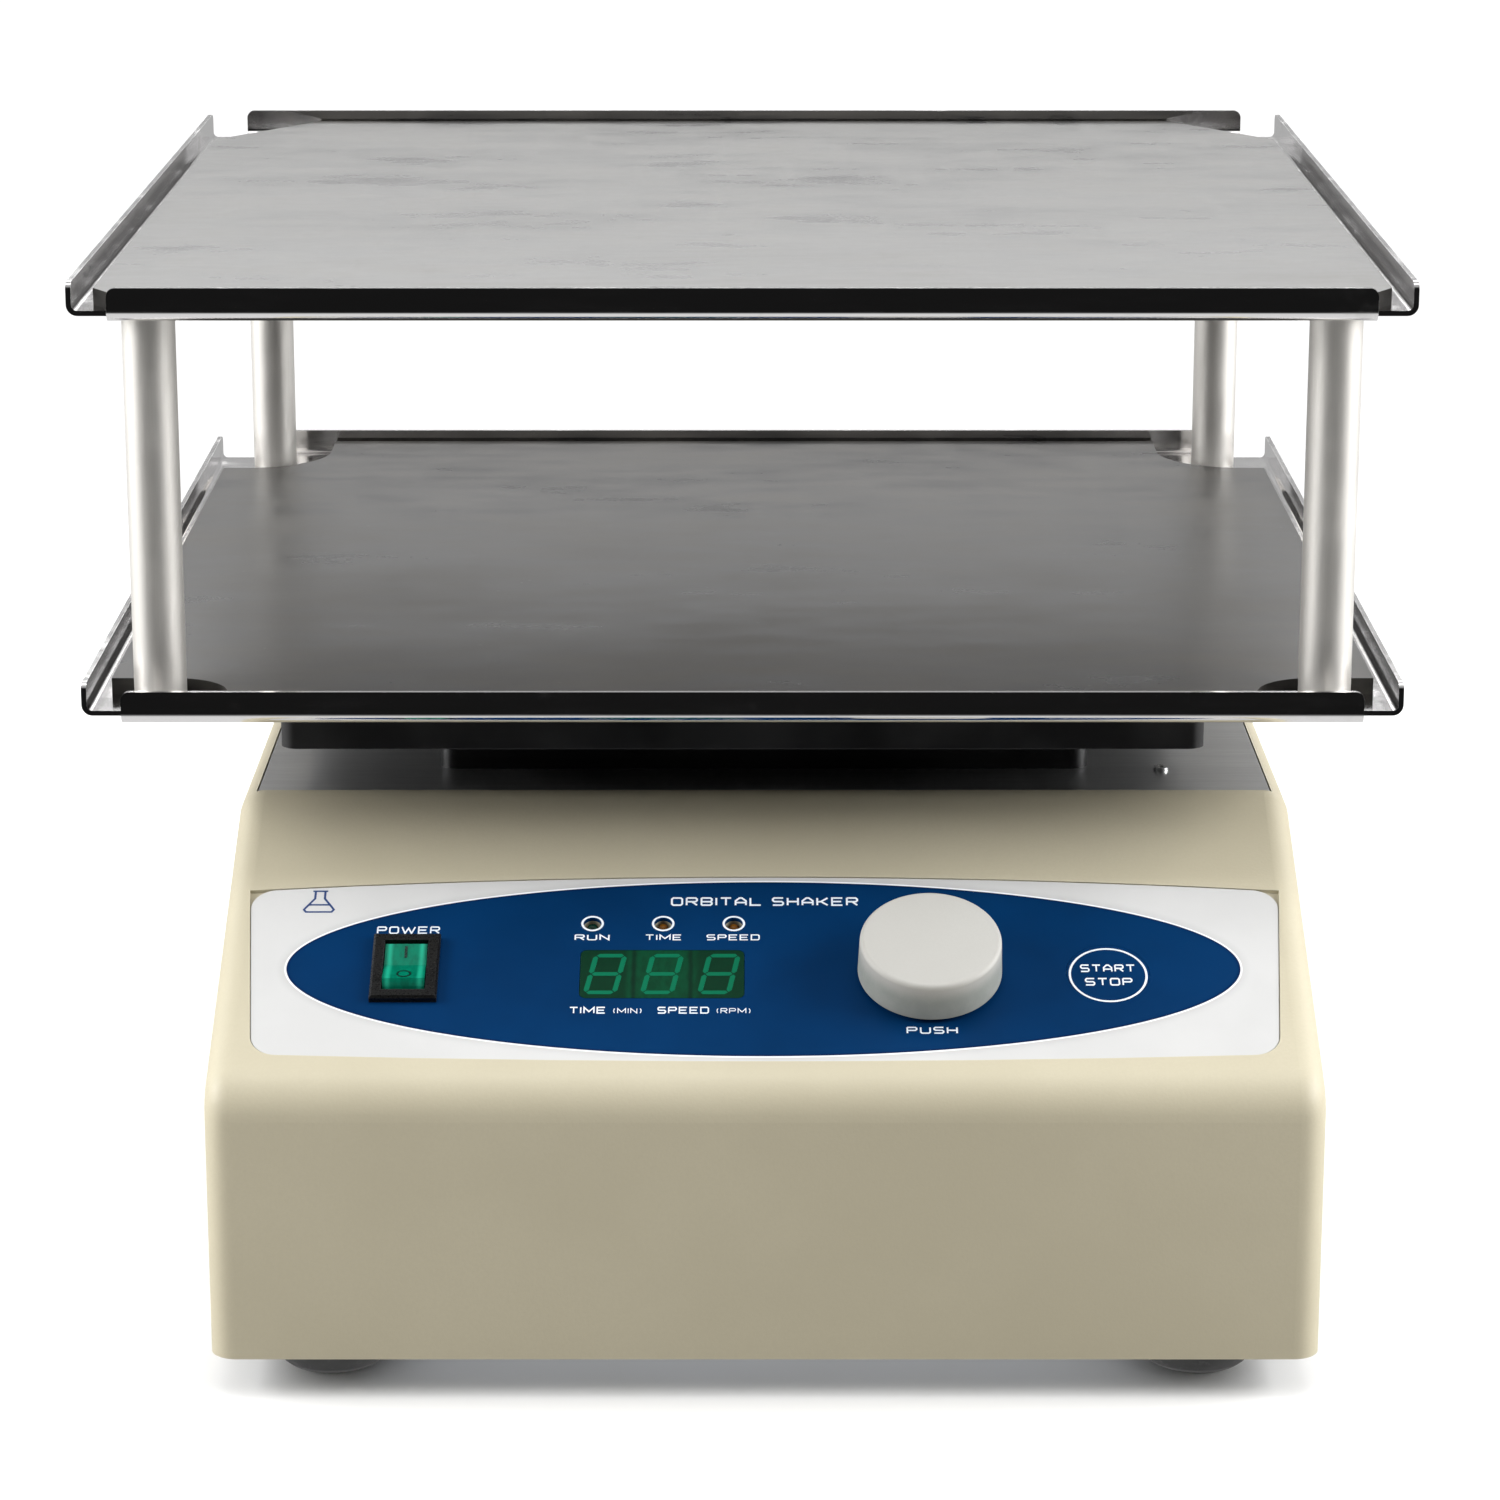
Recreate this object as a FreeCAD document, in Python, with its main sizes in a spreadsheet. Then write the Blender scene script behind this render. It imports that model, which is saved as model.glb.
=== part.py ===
import FreeCAD, Part
import math
import os

import Sketcher

# Benchtop orbital shaker with two stacked trays on a crank-driven carriage.
# Frame: +Z up, the bench at Z = 0, the control console facing -Y, X = 0 on the middle of the trays.
# Every place is measured from the foot of the drive axis, which place() sets in the overall frame.

os.makedirs("parts", exist_ok=True)
document = FreeCAD.newDocument("OrbitalShaker")

# ---------------------------------------------------------------------------------------------
# Driving dimensions, in millimetres and degrees
# ---------------------------------------------------------------------------------------------

SIZES = {
    # orbit
    "orbit_radius": 9.5,
    "rest_phase": 238.25,
    # housing
    "housing_width": 245.0,
    "housing_front": 217.0,
    "housing_rear": 130.0,
    "housing_lift": 9.0,
    "housing_height": 113.4,
    "housing_wall": 3.5,
    "console_slope": 25.0,
    "console_break": 126.5,
    "brow_round": 8.0,
    "skirt_round": 11.0,
    "flank_round": 6.0,
    "boss_diameter": 9.0,
    "boss_height": 30.0,
    "boss_front_inset": 52.0,
    "boss_middle_row": 45.0,
    "boss_rear_inset": 55.0,
    "case_screw_diameter": 3.0,
    "case_screw_length": 14.0,
    "case_screw_head": 5.6,
    "case_screw_head_height": 2.0,
    "foot_screw_diameter": 4.0,
    "foot_screw_length": 12.0,
    "foot_screw_head": 8.0,
    "foot_screw_head_height": 2.6,
    "foot_screw_seat": 4.0,
    "block_screw_diameter": 5.0,
    "block_screw_length": 13.5,
    "block_screw_head": 8.5,
    "block_screw_head_height": 5.0,
    "screw_clearance": 0.4,
    "air_slot_width": 3.0,
    "air_slot_height": 30.0,
    "air_slot_row": 60.0,
    "air_slot_level": 60.0,
    "vent_width": 3.0,
    "vent_length": 40.0,
    "vent_pitch": 8.0,
    "earth_screw_diameter": 2.0,
    "earth_screw_length": 7.0,
    "earth_head_diameter": 3.4,
    "earth_head_height": 0.8,
    "screw_edge_gap": 7.5,
    # top plate and what hangs from it
    "plate_gauge": 2.5,
    "plate_rim": 3.9,
    "plate_sink": 0.4,
    "plate_gap": 0.4,
    "plate_front": 124.7,
    "ledge_width": 10.0,
    "ledge_depth": 4.0,
    "block_width": 154.0,
    "block_depth": 210.0,
    "block_height": 13.8,
    "block_screw_inset": 11.0,
    # spindle and its bearings
    "spindle_diameter": 17.0,
    "spindle_foot": 20.0,
    "spindle_bearing_od": 40.0,
    "spindle_bearing_width": 12.0,
    "spindle_ball": 6.75,
    "web_diameter": 48.0,
    "web_gap": 3.0,
    "housing_tube_wall": 6.0,
    "housing_tube_length": 48.5,
    "flange_diameter": 92.0,
    "flange_thickness": 6.0,
    "flange_pitch_circle": 76.0,
    # crank pins and their bearings
    "pin_diameter": 10.0,
    "pin_bearing_od": 26.0,
    "pin_bearing_width": 8.0,
    "pin_ball": 4.76,
    "idler_reach": 56.0,
    "idler_setback": 70.0,
    "idler_web_diameter": 34.0,
    "idler_web_thickness": 4.2,
    # belt drive
    "drive_pulley_diameter": 96.0,
    "motor_pulley_diameter": 24.0,
    "pulley_width": 16.0,
    "pulley_level": 42.0,
    "groove_depth": 1.5,
    "belt_width": 10.0,
    "belt_thickness": 2.2,
    "counterweight_radius": 60.0,
    "counterweight_thickness": 16.0,
    "counterweight_spread": 160.0,
    # motor
    "motor_across": -69.0,
    "motor_behind": 69.0,
    "motor_diameter": 63.0,
    "motor_length": 39.0,
    "motor_wall": 2.0,
    "motor_shaft_diameter": 8.0,
    "motor_plate_size": 76.0,
    "motor_plate_gauge": 3.0,
    "motor_standoff_diameter": 9.0,
    # carriage, trays and mats
    "carriage_width": 212.0,
    "carriage_depth": 268.0,
    "carriage_thickness": 10.0,
    "carriage_gap": 1.2,
    "tray_size": 300.0,
    "tray_gauge": 1.2,
    "tray_flange": 7.6,
    "tray_bend": 2.5,
    "front_flange_setback": 10.0,
    "side_flange_setback": 8.0,
    "deck_spacing": 91.7,
    "post_diameter": 12.0,
    "post_inset": 17.0,
    "mat_side_gap": 5.0,
    "mat_thickness": 3.8,
    "mat_front_gap": 4.0,
    "mat_rear_gap": 3.6,
    "mat_notch_width": 28.0,
    "mat_notch_front": 19.0,
    "mat_notch_rear": 37.4,
    "mat_front_curve": 13.7,
    "mat_rear_curve": 22.0,
    "mat_chamfer_width": 8.0,
    "mat_chamfer_depth": 12.0,
    "mat_rear_chamfer_width": 25.6,
    "mat_rear_chamfer_depth": 38.4,
    # console: places are across and up the slope from the middle of the label
    "label_middle": 181.5,
    "label_thickness": 0.8,
    "label_sink": 0.2,
    "label_gap": 0.4,
    "label_top_width": 233.8,
    "label_bottom_width": 225.2,
    "label_top": 30.9,
    "label_top_ends": 26.15,
    "label_bottom": 29.2,
    "label_bottom_ends": 27.0,
    "label_corner": 6.0,
    "switch_across": -80.3,
    "switch_width": 15.0,
    "switch_height": 21.0,
    "rocker_width": 9.4,
    "rocker_radius": 7.8,
    "rocker_tilt": 8.0,
    "display_across": -22.9,
    "display_up": -1.3,
    "display_width": 36.6,
    "display_height": 15.6,
    "display_corner": 1.5,
    "lamp_up": 15.1,
    "lamp_pitch": 15.95,
    "lamp_hole": 4.0,
    "lamp_diameter": 3.0,
    "knob_across": 36.8,
    "controls_up": -1.1,
    "knob_diameter": 32.2,
    "knob_face_diameter": 31.5,
    "knob_top": 10.3,
    "knob_foot": 0.9,
    "knob_travel": 0.8,
    "encoder_shaft_diameter": 6.0,
    "encoder_bushing_wall": 0.5,
    "encoder_shoulder": 3.0,
    "encoder_case_wall": 1.3,
    "encoder_nut_wall": 2.3,
    "encoder_nut_height": 2.0,
    "key_across": 76.6,
    "key_diameter": 18.5,
    "key_travel": 0.4,
    "board_depth": 12.0,
    "board_gauge": 1.6,
    "board_left": 66.0,
    "board_right": 106.0,
    "board_height": 48.0,
    "board_screw_inset": 8.0,
    "board_screw_drop": 6.0,
    # power side
    "inlet_across": 72.0,
    "inlet_level": 44.0,
    "inlet_width": 27.0,
    "inlet_height": 32.0,
    "socket_width": 24.4,
    "socket_height": 17.4,
    "drawer_width": 21.6,
    "drawer_height": 7.6,
    "supply_width": 40.0,
    "supply_length": 140.0,
    "supply_across": 87.0,
    "supply_level": 18.0,
    # underside
    "chassis_gauge": 2.0,
    "chassis_gap": 0.5,
    "foot_diameter": 33.0,
    "foot_tread": 24.0,
    "foot_across": 97.2,
    "foot_inset": 24.5,
    # fits
    "running_gap": 0.05,
    "part_gap": 0.3,
    "slip_gap": 0.2,
}

sheet = document.addObject("Spreadsheet::Sheet", "Sizes")
for row, (alias, number) in enumerate(SIZES.items(), start=1):
    sheet.set(f"A{row}", alias)
    sheet.set(f"B{row}", str(number))
    sheet.setAlias(f"B{row}", alias)
document.recompute()


class Size:
    """A size that carries its number and its formula over the sheet together."""

    def __init__(self, text, value):
        self.text = text
        self.value = value

    def __add__(self, other):
        other = as_size(other)
        return Size(f"({self.text} + {other.text})", self.value + other.value)

    def __sub__(self, other):
        other = as_size(other)
        return Size(f"({self.text} - {other.text})", self.value - other.value)

    def __mul__(self, other):
        other = as_size(other)
        return Size(f"({self.text} * {other.text})", self.value * other.value)

    def __truediv__(self, other):
        other = as_size(other)
        return Size(f"({self.text} / {other.text})", self.value / other.value)

    def __radd__(self, other):
        return as_size(other) + self

    def __rsub__(self, other):
        return as_size(other) - self

    def __rmul__(self, other):
        return as_size(other) * self

    def __neg__(self):
        return Size(f"(0 - {self.text})", -self.value)


def as_size(number):
    if isinstance(number, Size):
        return number
    return Size(f"({number})", float(number))


def sine(angle):
    return Size(f"sin({angle.text})", math.sin(math.radians(angle.value)))


def cosine(angle):
    return Size(f"cos({angle.text})", math.cos(math.radians(angle.value)))


def root(square):
    return Size(f"sqrt({square.text})", math.sqrt(square.value))


class Sheet:
    """Reads the sheet's cells by alias as sizes."""

    def __getattr__(self, alias):
        return Size(f"Sizes.{alias}", float(sheet.get(alias)))


d = Sheet()

# ---------------------------------------------------------------------------------------------
# Levels and places that several sub-parts share
# ---------------------------------------------------------------------------------------------

half_width = d.housing_width / 2
pin_x = d.orbit_radius * cosine(d.rest_phase)
pin_y = d.orbit_radius * sine(d.rest_phase)
axis_x = -pin_x
axis_y = (d.housing_front - pin_y - d.tray_size / 2) / 2

plate_top = d.housing_height - d.plate_sink
plate_bottom = plate_top - d.plate_gauge
plate_width = d.housing_width - 2 * (d.plate_rim + d.plate_gap / 2)
plate_rear = d.housing_rear - d.brow_round - d.housing_wall
block_top = plate_top + d.block_height
carriage_bottom = block_top + d.carriage_gap
carriage_top = carriage_bottom + d.carriage_thickness
pin_bearing_bottom = carriage_top - d.pin_bearing_width
pin_top = carriage_top - d.part_gap
idler_web_bottom = block_top + d.carriage_gap / 2 - d.idler_web_thickness
idler_pocket_floor = idler_web_bottom - d.part_gap
idler_seat_floor = idler_pocket_floor - d.pin_bearing_width
lower_floor = carriage_top
upper_floor = lower_floor + d.deck_spacing

tube_bottom = plate_bottom - d.housing_tube_length
flange_bottom = plate_bottom - d.flange_thickness
web_bottom = plate_top + d.web_gap
web_top = block_top + d.carriage_gap / 2
pulley_top = d.pulley_level + d.pulley_width
belt_bottom = d.pulley_level + (d.pulley_width - d.belt_width) / 2

chassis_bottom = d.housing_lift + d.chassis_gap
chassis_top = chassis_bottom + d.chassis_gauge

rise = sine(d.console_slope)
run = cosine(d.console_slope)
console_foot = d.housing_height - (d.housing_front - d.console_break) * rise / run
label_level = d.housing_height - (d.label_middle - d.console_break) * rise / run
recess_depth = d.label_thickness + d.label_sink
label_top_face = -d.label_sink
board_face = -d.board_depth
encoder_bushing = d.encoder_shaft_diameter / 2 + d.encoder_bushing_wall
encoder_nut_reach = encoder_bushing + d.encoder_nut_wall

# ---------------------------------------------------------------------------------------------
# Helpers: places, sketches and features
# ---------------------------------------------------------------------------------------------


def bind(thing, **formulas):
    """Tie properties of an object to the sheet."""
    for name, formula in formulas.items():
        thing.setExpression(name, as_size(formula).text)


def place(thing, x=0.0, y=0.0, z=0.0, tilt=None):
    """Set a sub-part down at a point measured from the foot of the drive axis."""
    spot = [axis_x + x, axis_y + y, as_size(z)]
    turn = FreeCAD.Rotation()
    if tilt is not None:
        turn = FreeCAD.Rotation(FreeCAD.Vector(1, 0, 0), tilt.value)
    thing.Placement = FreeCAD.Placement(FreeCAD.Vector(*[size.value for size in spot]), turn)
    for axis, size in zip("xyz", spot):
        thing.setExpression(f".Placement.Base.{axis}", size.text)
    if tilt is not None:
        thing.setExpression(".Placement.Rotation.Angle", tilt.text)
    return thing


def place_on_console(thing, across=0.0, up=0.0, out=0.0, extra_tilt=0.0):
    """Set a sub-part down on the console: across it, up its slope and out of its face."""
    y = -d.label_middle + up * run - out * rise
    z = label_level + up * rise + out * run
    return place(thing, across, y, z, d.console_slope + extra_tilt)


def new_body(label):
    body = document.addObject("PartDesign::Body", label)
    body.Label = label
    body.AllowCompound = True
    return body


def sketch_on(body, role, offset=0.0):
    """An empty sketch parallel to one of the body's own origin planes."""
    plane = next(item for item in body.Origin.OriginFeatures if item.Role == role)
    drawing = body.newObject("Sketcher::SketchObject", f"{body.Label}_sketch")
    drawing.AttachmentSupport = [(plane, "")]
    drawing.MapMode = "FlatFace"
    drawing.setExpression(".AttachmentOffset.Base.z", as_size(offset).text)
    return drawing


def console_sketch(body, out=0.0):
    """An empty sketch on the console's slope, for a body that stands in the main frame."""
    drawing = sketch_on(body, "XY_Plane")
    turn = FreeCAD.Rotation(FreeCAD.Vector(1, 0, 0), d.console_slope.value)
    drawing.AttachmentOffset = FreeCAD.Placement(FreeCAD.Vector(), turn)
    drawing.setExpression(".AttachmentOffset.Rotation.Angle", d.console_slope.text)
    drawing.setExpression(".AttachmentOffset.Base.y", (-d.label_middle - out * rise).text)
    drawing.setExpression(".AttachmentOffset.Base.z", (label_level + out * run).text)
    return drawing


def tie(drawing, geometry, point, x, y):
    """Tie one point of a sketch element to the sketch's origin."""
    for kind, amount in (("DistanceX", as_size(x)), ("DistanceY", as_size(y))):
        rule = Sketcher.Constraint(kind, -1, 1, geometry, point, amount.value)
        index = drawing.addConstraint(rule)
        drawing.setExpression(f"Constraints[{index}]", amount.text)


def flat_point(x, y):
    return FreeCAD.Vector(as_size(x).value, as_size(y).value, 0)


def draw_outline(drawing, points):
    """A closed run of straight lines with every corner tied down."""
    first = drawing.GeometryCount
    count = len(points)
    for index, start in enumerate(points):
        end = points[(index + 1) % count]
        drawing.addGeometry(Part.LineSegment(flat_point(*start), flat_point(*end)), False)
    for index in range(count):
        following = first + (index + 1) % count
        drawing.addConstraint(Sketcher.Constraint("Coincident", first + index, 2, following, 1))
    for index, start in enumerate(points):
        tie(drawing, first + index, 1, *start)


def draw_rectangle(drawing, width, height, x=0.0, y=0.0):
    left = x - as_size(width) / 2
    right = x + as_size(width) / 2
    low = y - as_size(height) / 2
    high = y + as_size(height) / 2
    draw_outline(drawing, [(left, low), (right, low), (right, high), (left, high)])


def draw_circle(drawing, diameter, x=0.0, y=0.0):
    diameter = as_size(diameter)
    ring = Part.Circle(flat_point(x, y), FreeCAD.Vector(0, 0, 1), diameter.value / 2)
    index = drawing.addGeometry(ring, False)
    rule = drawing.addConstraint(Sketcher.Constraint("Diameter", index, diameter.value))
    drawing.setExpression(f"Constraints[{rule}]", diameter.text)
    tie(drawing, index, 3, x, y)


def pad(body, drawing, length, both_ways=False, downward=False):
    feature = body.newObject("PartDesign::Pad", f"{body.Label}_pad")
    feature.Profile = drawing
    feature.Midplane = both_ways
    feature.Reversed = downward
    bind(feature, Length=length)
    document.recompute()
    return feature


def pocket(body, drawing, length, upward=False, both_ways=False):
    """Cut a pocket and make sure that it took something away."""
    before = body.Shape.Volume
    feature = body.newObject("PartDesign::Pocket", f"{body.Label}_pocket")
    feature.Profile = drawing
    feature.Midplane = both_ways
    feature.Reversed = upward
    bind(feature, Length=length)
    document.recompute()
    if body.Shape.Volume >= before:
        raise ValueError(f"a pocket of {body.Label} cuts nothing")
    return feature


def edges_through(shape, points):
    """Names of the edges that pass through the given points."""
    found = []
    for point in points:
        probe = Part.Vertex(*[as_size(value).value for value in point])
        gaps = [edge.distToShape(probe)[0] for edge in shape.Edges]
        nearest = min(range(len(gaps)), key=gaps.__getitem__)
        found.append(f"Edge{nearest + 1}")
    return found


def edges_where(shape, test):
    return [f"Edge{index}" for index, edge in enumerate(shape.Edges, start=1) if test(edge)]


def is_upright(edge):
    """True for a straight edge that runs along the body's own Z."""
    if len(edge.Vertexes) != 2:
        return False
    start, end = [vertex.Point for vertex in edge.Vertexes]
    return abs(start.x - end.x) < 1e-4 and abs(start.y - end.y) < 1e-4


def round_edges(body, edges, radius):
    sharp = body.Tip
    feature = body.newObject("PartDesign::Fillet", f"{body.Label}_round")
    feature.Base = (sharp, edges)
    bind(feature, Radius=radius)
    document.recompute()
    return feature


def bevel_edges(body, edges, size):
    sharp = body.Tip
    feature = body.newObject("PartDesign::Chamfer", f"{body.Label}_bevel")
    feature.Base = (sharp, edges)
    bind(feature, Size=size)
    document.recompute()
    return feature


def turned(label, profile):
    """A turned body: its half section is a closed run of (radius, height) points."""
    body = new_body(label)
    drawing = sketch_on(body, "XZ_Plane")
    draw_outline(drawing, profile)
    feature = body.newObject("PartDesign::Revolution", f"{label}_turn")
    feature.Profile = drawing
    feature.ReferenceAxis = (drawing, ["V_Axis"])
    feature.Angle = 360
    document.recompute()
    return body


# ---------------------------------------------------------------------------------------------
# Helpers: primitives and booleans, placed from the foot of the drive axis
# ---------------------------------------------------------------------------------------------


def box(name, width, depth, height, x, y, z, setter=place):
    """A box centred on x and y that starts at z."""
    thing = document.addObject("Part::Box", name)
    bind(thing, Length=width, Width=depth, Height=height)
    return setter(thing, x - as_size(width) / 2, y - as_size(depth) / 2, z)


def rod(name, diameter, height, x, y, z, setter=place):
    """A round bar along the local Z that starts at z."""
    thing = document.addObject("Part::Cylinder", name)
    bind(thing, Radius=as_size(diameter) / 2, Height=height)
    return setter(thing, x, y, z)


def console_box(name, width, height, depth, across, up, out):
    """A box on the console, centred across and up, that starts at out and grows outwards."""
    thing = document.addObject("Part::Box", name)
    bind(thing, Length=width, Width=height, Height=depth)
    low = up - as_size(height) / 2
    return place_on_console(thing, across - as_size(width) / 2, low, out)


def fuse(name, pieces):
    thing = document.addObject("Part::MultiFuse", name)
    thing.Shapes = pieces
    thing.Label = name
    return thing


def cut(name, base, tool):
    thing = document.addObject("Part::Cut", name)
    thing.Base = base
    thing.Tool = tool
    thing.Label = name
    return thing


def group(name, pieces):
    thing = document.addObject("Part::Compound", name)
    thing.Links = pieces
    thing.Label = name
    return thing


def grid(across, along):
    """The four corners of a rectangle with the given half sizes."""
    return [(sx * across, sy * along) for sx in (-1, 1) for sy in (-1, 1)]


def ring_of(count, radius, start=0.0):
    """Points evenly spread on a circle about the drive axis."""
    spots = []
    for index in range(count):
        angle = Size(f"({start} + {index * 360.0 / count})", start + index * 360.0 / count)
        spots.append((radius * cosine(angle), radius * sine(angle)))
    return spots


def socket_screw(name, shank, length, head, head_height, x, y, seat, upward=True):
    """A cap screw: its head's bearing face is at seat and its shank runs up or down from there."""
    if upward:
        head_foot, shank_foot, key_foot = seat - head_height, seat, seat - head_height
    else:
        head_foot, shank_foot, key_foot = seat, seat - length, seat + head_height / 2
    blank = fuse(f"{name}_blank", [
        rod(f"{name}_head", head, head_height, x, y, head_foot),
        rod(f"{name}_shank", shank, length, x, y, shank_foot),
    ])
    key = document.addObject("Part::Prism", f"{name}_key")
    key.Polygon = 6
    bind(key, Circumradius=as_size(head) / 4, Height=as_size(head_height) / 2)
    place(key, x, y, key_foot)
    return cut(name, blank, key)


def flat_screw(name, shank, length, head, cone, x, y, face, upward=False, gap=0.0):
    """A countersunk screw whose flat head lies in the plane at face."""
    taper = document.addObject("Part::Cone", f"{name}_taper")
    wide, narrow = as_size(head) / 2 + gap, as_size(shank) / 2 + gap
    low_radius, high_radius = (wide, narrow) if upward else (narrow, wide)
    bind(taper, Radius1=low_radius, Radius2=high_radius, Height=cone)
    place(taper, x, y, face if upward else face - cone)
    shank_foot = face if upward else face - length - gap
    return fuse(name, [
        taper,
        rod(f"{name}_shank", as_size(shank) + 2 * gap, length + gap, x, y, shank_foot),
    ])


def bearing_rings(name, kind, x, y, bottom):
    """Outer ring, inner ring and balls of one deep-groove ball bearing."""
    if kind == "spindle":
        bore, outside = d.spindle_diameter, d.spindle_bearing_od
        width, ball = d.spindle_bearing_width, d.spindle_ball
        count = 8
    else:
        bore, outside = d.pin_diameter, d.pin_bearing_od
        width, ball = d.pin_bearing_width, d.pin_ball
        count = 7
    pitch = (bore + outside) / 4
    middle = bottom + width / 2

    def ring(tag, inner, outer, groove):
        tube = cut(f"{name}_{tag}_tube",
                   rod(f"{name}_{tag}_out", 2 * outer, width, x, y, bottom),
                   rod(f"{name}_{tag}_in", 2 * inner, width, x, y, bottom))
        channel = document.addObject("Part::Torus", f"{name}_{tag}_channel")
        bind(channel, Radius1=pitch, Radius2=groove)
        place(channel, x, y, middle)
        return cut(f"{name}_{tag}", tube, channel)

    outer_ring = ring("outer", pitch + ball * 0.36, outside / 2, ball / 2 + d.part_gap / 2)
    inner_ring = ring("inner", bore / 2, pitch - ball * 0.36, ball / 2 + d.running_gap)
    balls = []
    for index, (ball_x, ball_y) in enumerate(ring_of(count, pitch)):
        sphere = document.addObject("Part::Sphere", f"{name}_ball_{index}")
        bind(sphere, Radius=ball / 2)
        balls.append(place(sphere, x + ball_x, y + ball_y, middle))
    return outer_ring, inner_ring, balls


# ---------------------------------------------------------------------------------------------
# Housing
# ---------------------------------------------------------------------------------------------


def label_outline(drawing, grow):
    """The console label's shape: bowed top and bottom, sides that draw in towards the bottom."""
    top_half = d.label_top_width / 2 + grow
    bottom_half = d.label_bottom_width / 2 + grow
    corners = [
        (-bottom_half, -d.label_bottom_ends - grow),
        (bottom_half, -d.label_bottom_ends - grow),
        (top_half, d.label_top_ends + grow),
        (-top_half, d.label_top_ends + grow),
    ]
    bottom_rise = d.label_bottom - d.label_bottom_ends
    top_rise = d.label_top - d.label_top_ends
    spots = [flat_point(*corner) for corner in corners]
    low_mid = FreeCAD.Vector(0, spots[0].y - bottom_rise.value, 0)
    high_mid = FreeCAD.Vector(0, spots[2].y + top_rise.value, 0)
    drawing.addGeometry(Part.Arc(spots[0], low_mid, spots[1]), False)
    drawing.addGeometry(Part.LineSegment(spots[1], spots[2]), False)
    drawing.addGeometry(Part.Arc(spots[2], high_mid, spots[3]), False)
    drawing.addGeometry(Part.LineSegment(spots[3], spots[0]), False)
    # An arc's first end is the one that it leaves anticlockwise.
    joints = ((0, 2, 1, 1), (1, 2, 2, 1), (2, 2, 3, 1), (3, 2, 0, 1))
    for joint in joints:
        drawing.addConstraint(Sketcher.Constraint("Coincident", *joint))
    for geometry, end, corner in ((3, 2, 0), (1, 1, 1), (1, 2, 2), (3, 1, 3)):
        tie(drawing, geometry, end, *corners[corner])
    for geometry, half, height in ((0, bottom_half, bottom_rise), (2, top_half, top_rise)):
        radius = (half * half + height * height) / (2 * height)
        rule = drawing.addConstraint(Sketcher.Constraint("Radius", geometry, radius.value))
        drawing.setExpression(f"Constraints[{rule}]", radius.text)


def console_openings(drawing, gap):
    """Every opening through the console for a control, with a gap round each."""
    slip = as_size(gap)
    draw_rectangle(drawing, d.switch_width - 2 + 2 * slip, d.switch_height - 2 + 2 * slip,
                   d.switch_across, as_size(0))
    draw_rectangle(drawing, d.display_width + 2 * slip, d.display_height + 2 * slip,
                   d.display_across, d.display_up)
    for step in (-1, 0, 1):
        draw_circle(drawing, d.lamp_hole, d.display_across + step * d.lamp_pitch, d.lamp_up)
    draw_circle(drawing, d.key_diameter + 2 * slip, d.key_across, d.controls_up)


def boss_spots():
    """Centres of the screw bosses along the two side walls."""
    side = half_width - d.screw_edge_gap
    rows = (-d.housing_front + d.boss_front_inset, -d.boss_middle_row, d.housing_rear - d.boss_rear_inset)
    return [(sx * side, row) for sx in (-1, 1) for row in rows]


def board_spots():
    """Screw places of the control board, across and up the console."""
    columns = (-d.board_left + d.board_screw_inset, d.board_right - d.board_screw_inset)
    row = d.board_height / 2 - d.board_screw_drop
    return [(column, side * row) for column in columns for side in (1, -1)]


def is_recess_corner(edge):
    """Whether an edge of the housing runs straight down the wall of the label's recess."""
    points = [vertex.Point for vertex in edge.Vertexes]
    if len(points) != 2 or abs(edge.Length - recess_depth.value) > 1e-3:
        return False
    slope = math.radians(d.console_slope.value)
    outward = FreeCAD.Vector(0, -math.sin(slope), math.cos(slope))
    return abs(abs((points[1] - points[0]).dot(outward)) - edge.Length) < 1e-4


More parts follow.
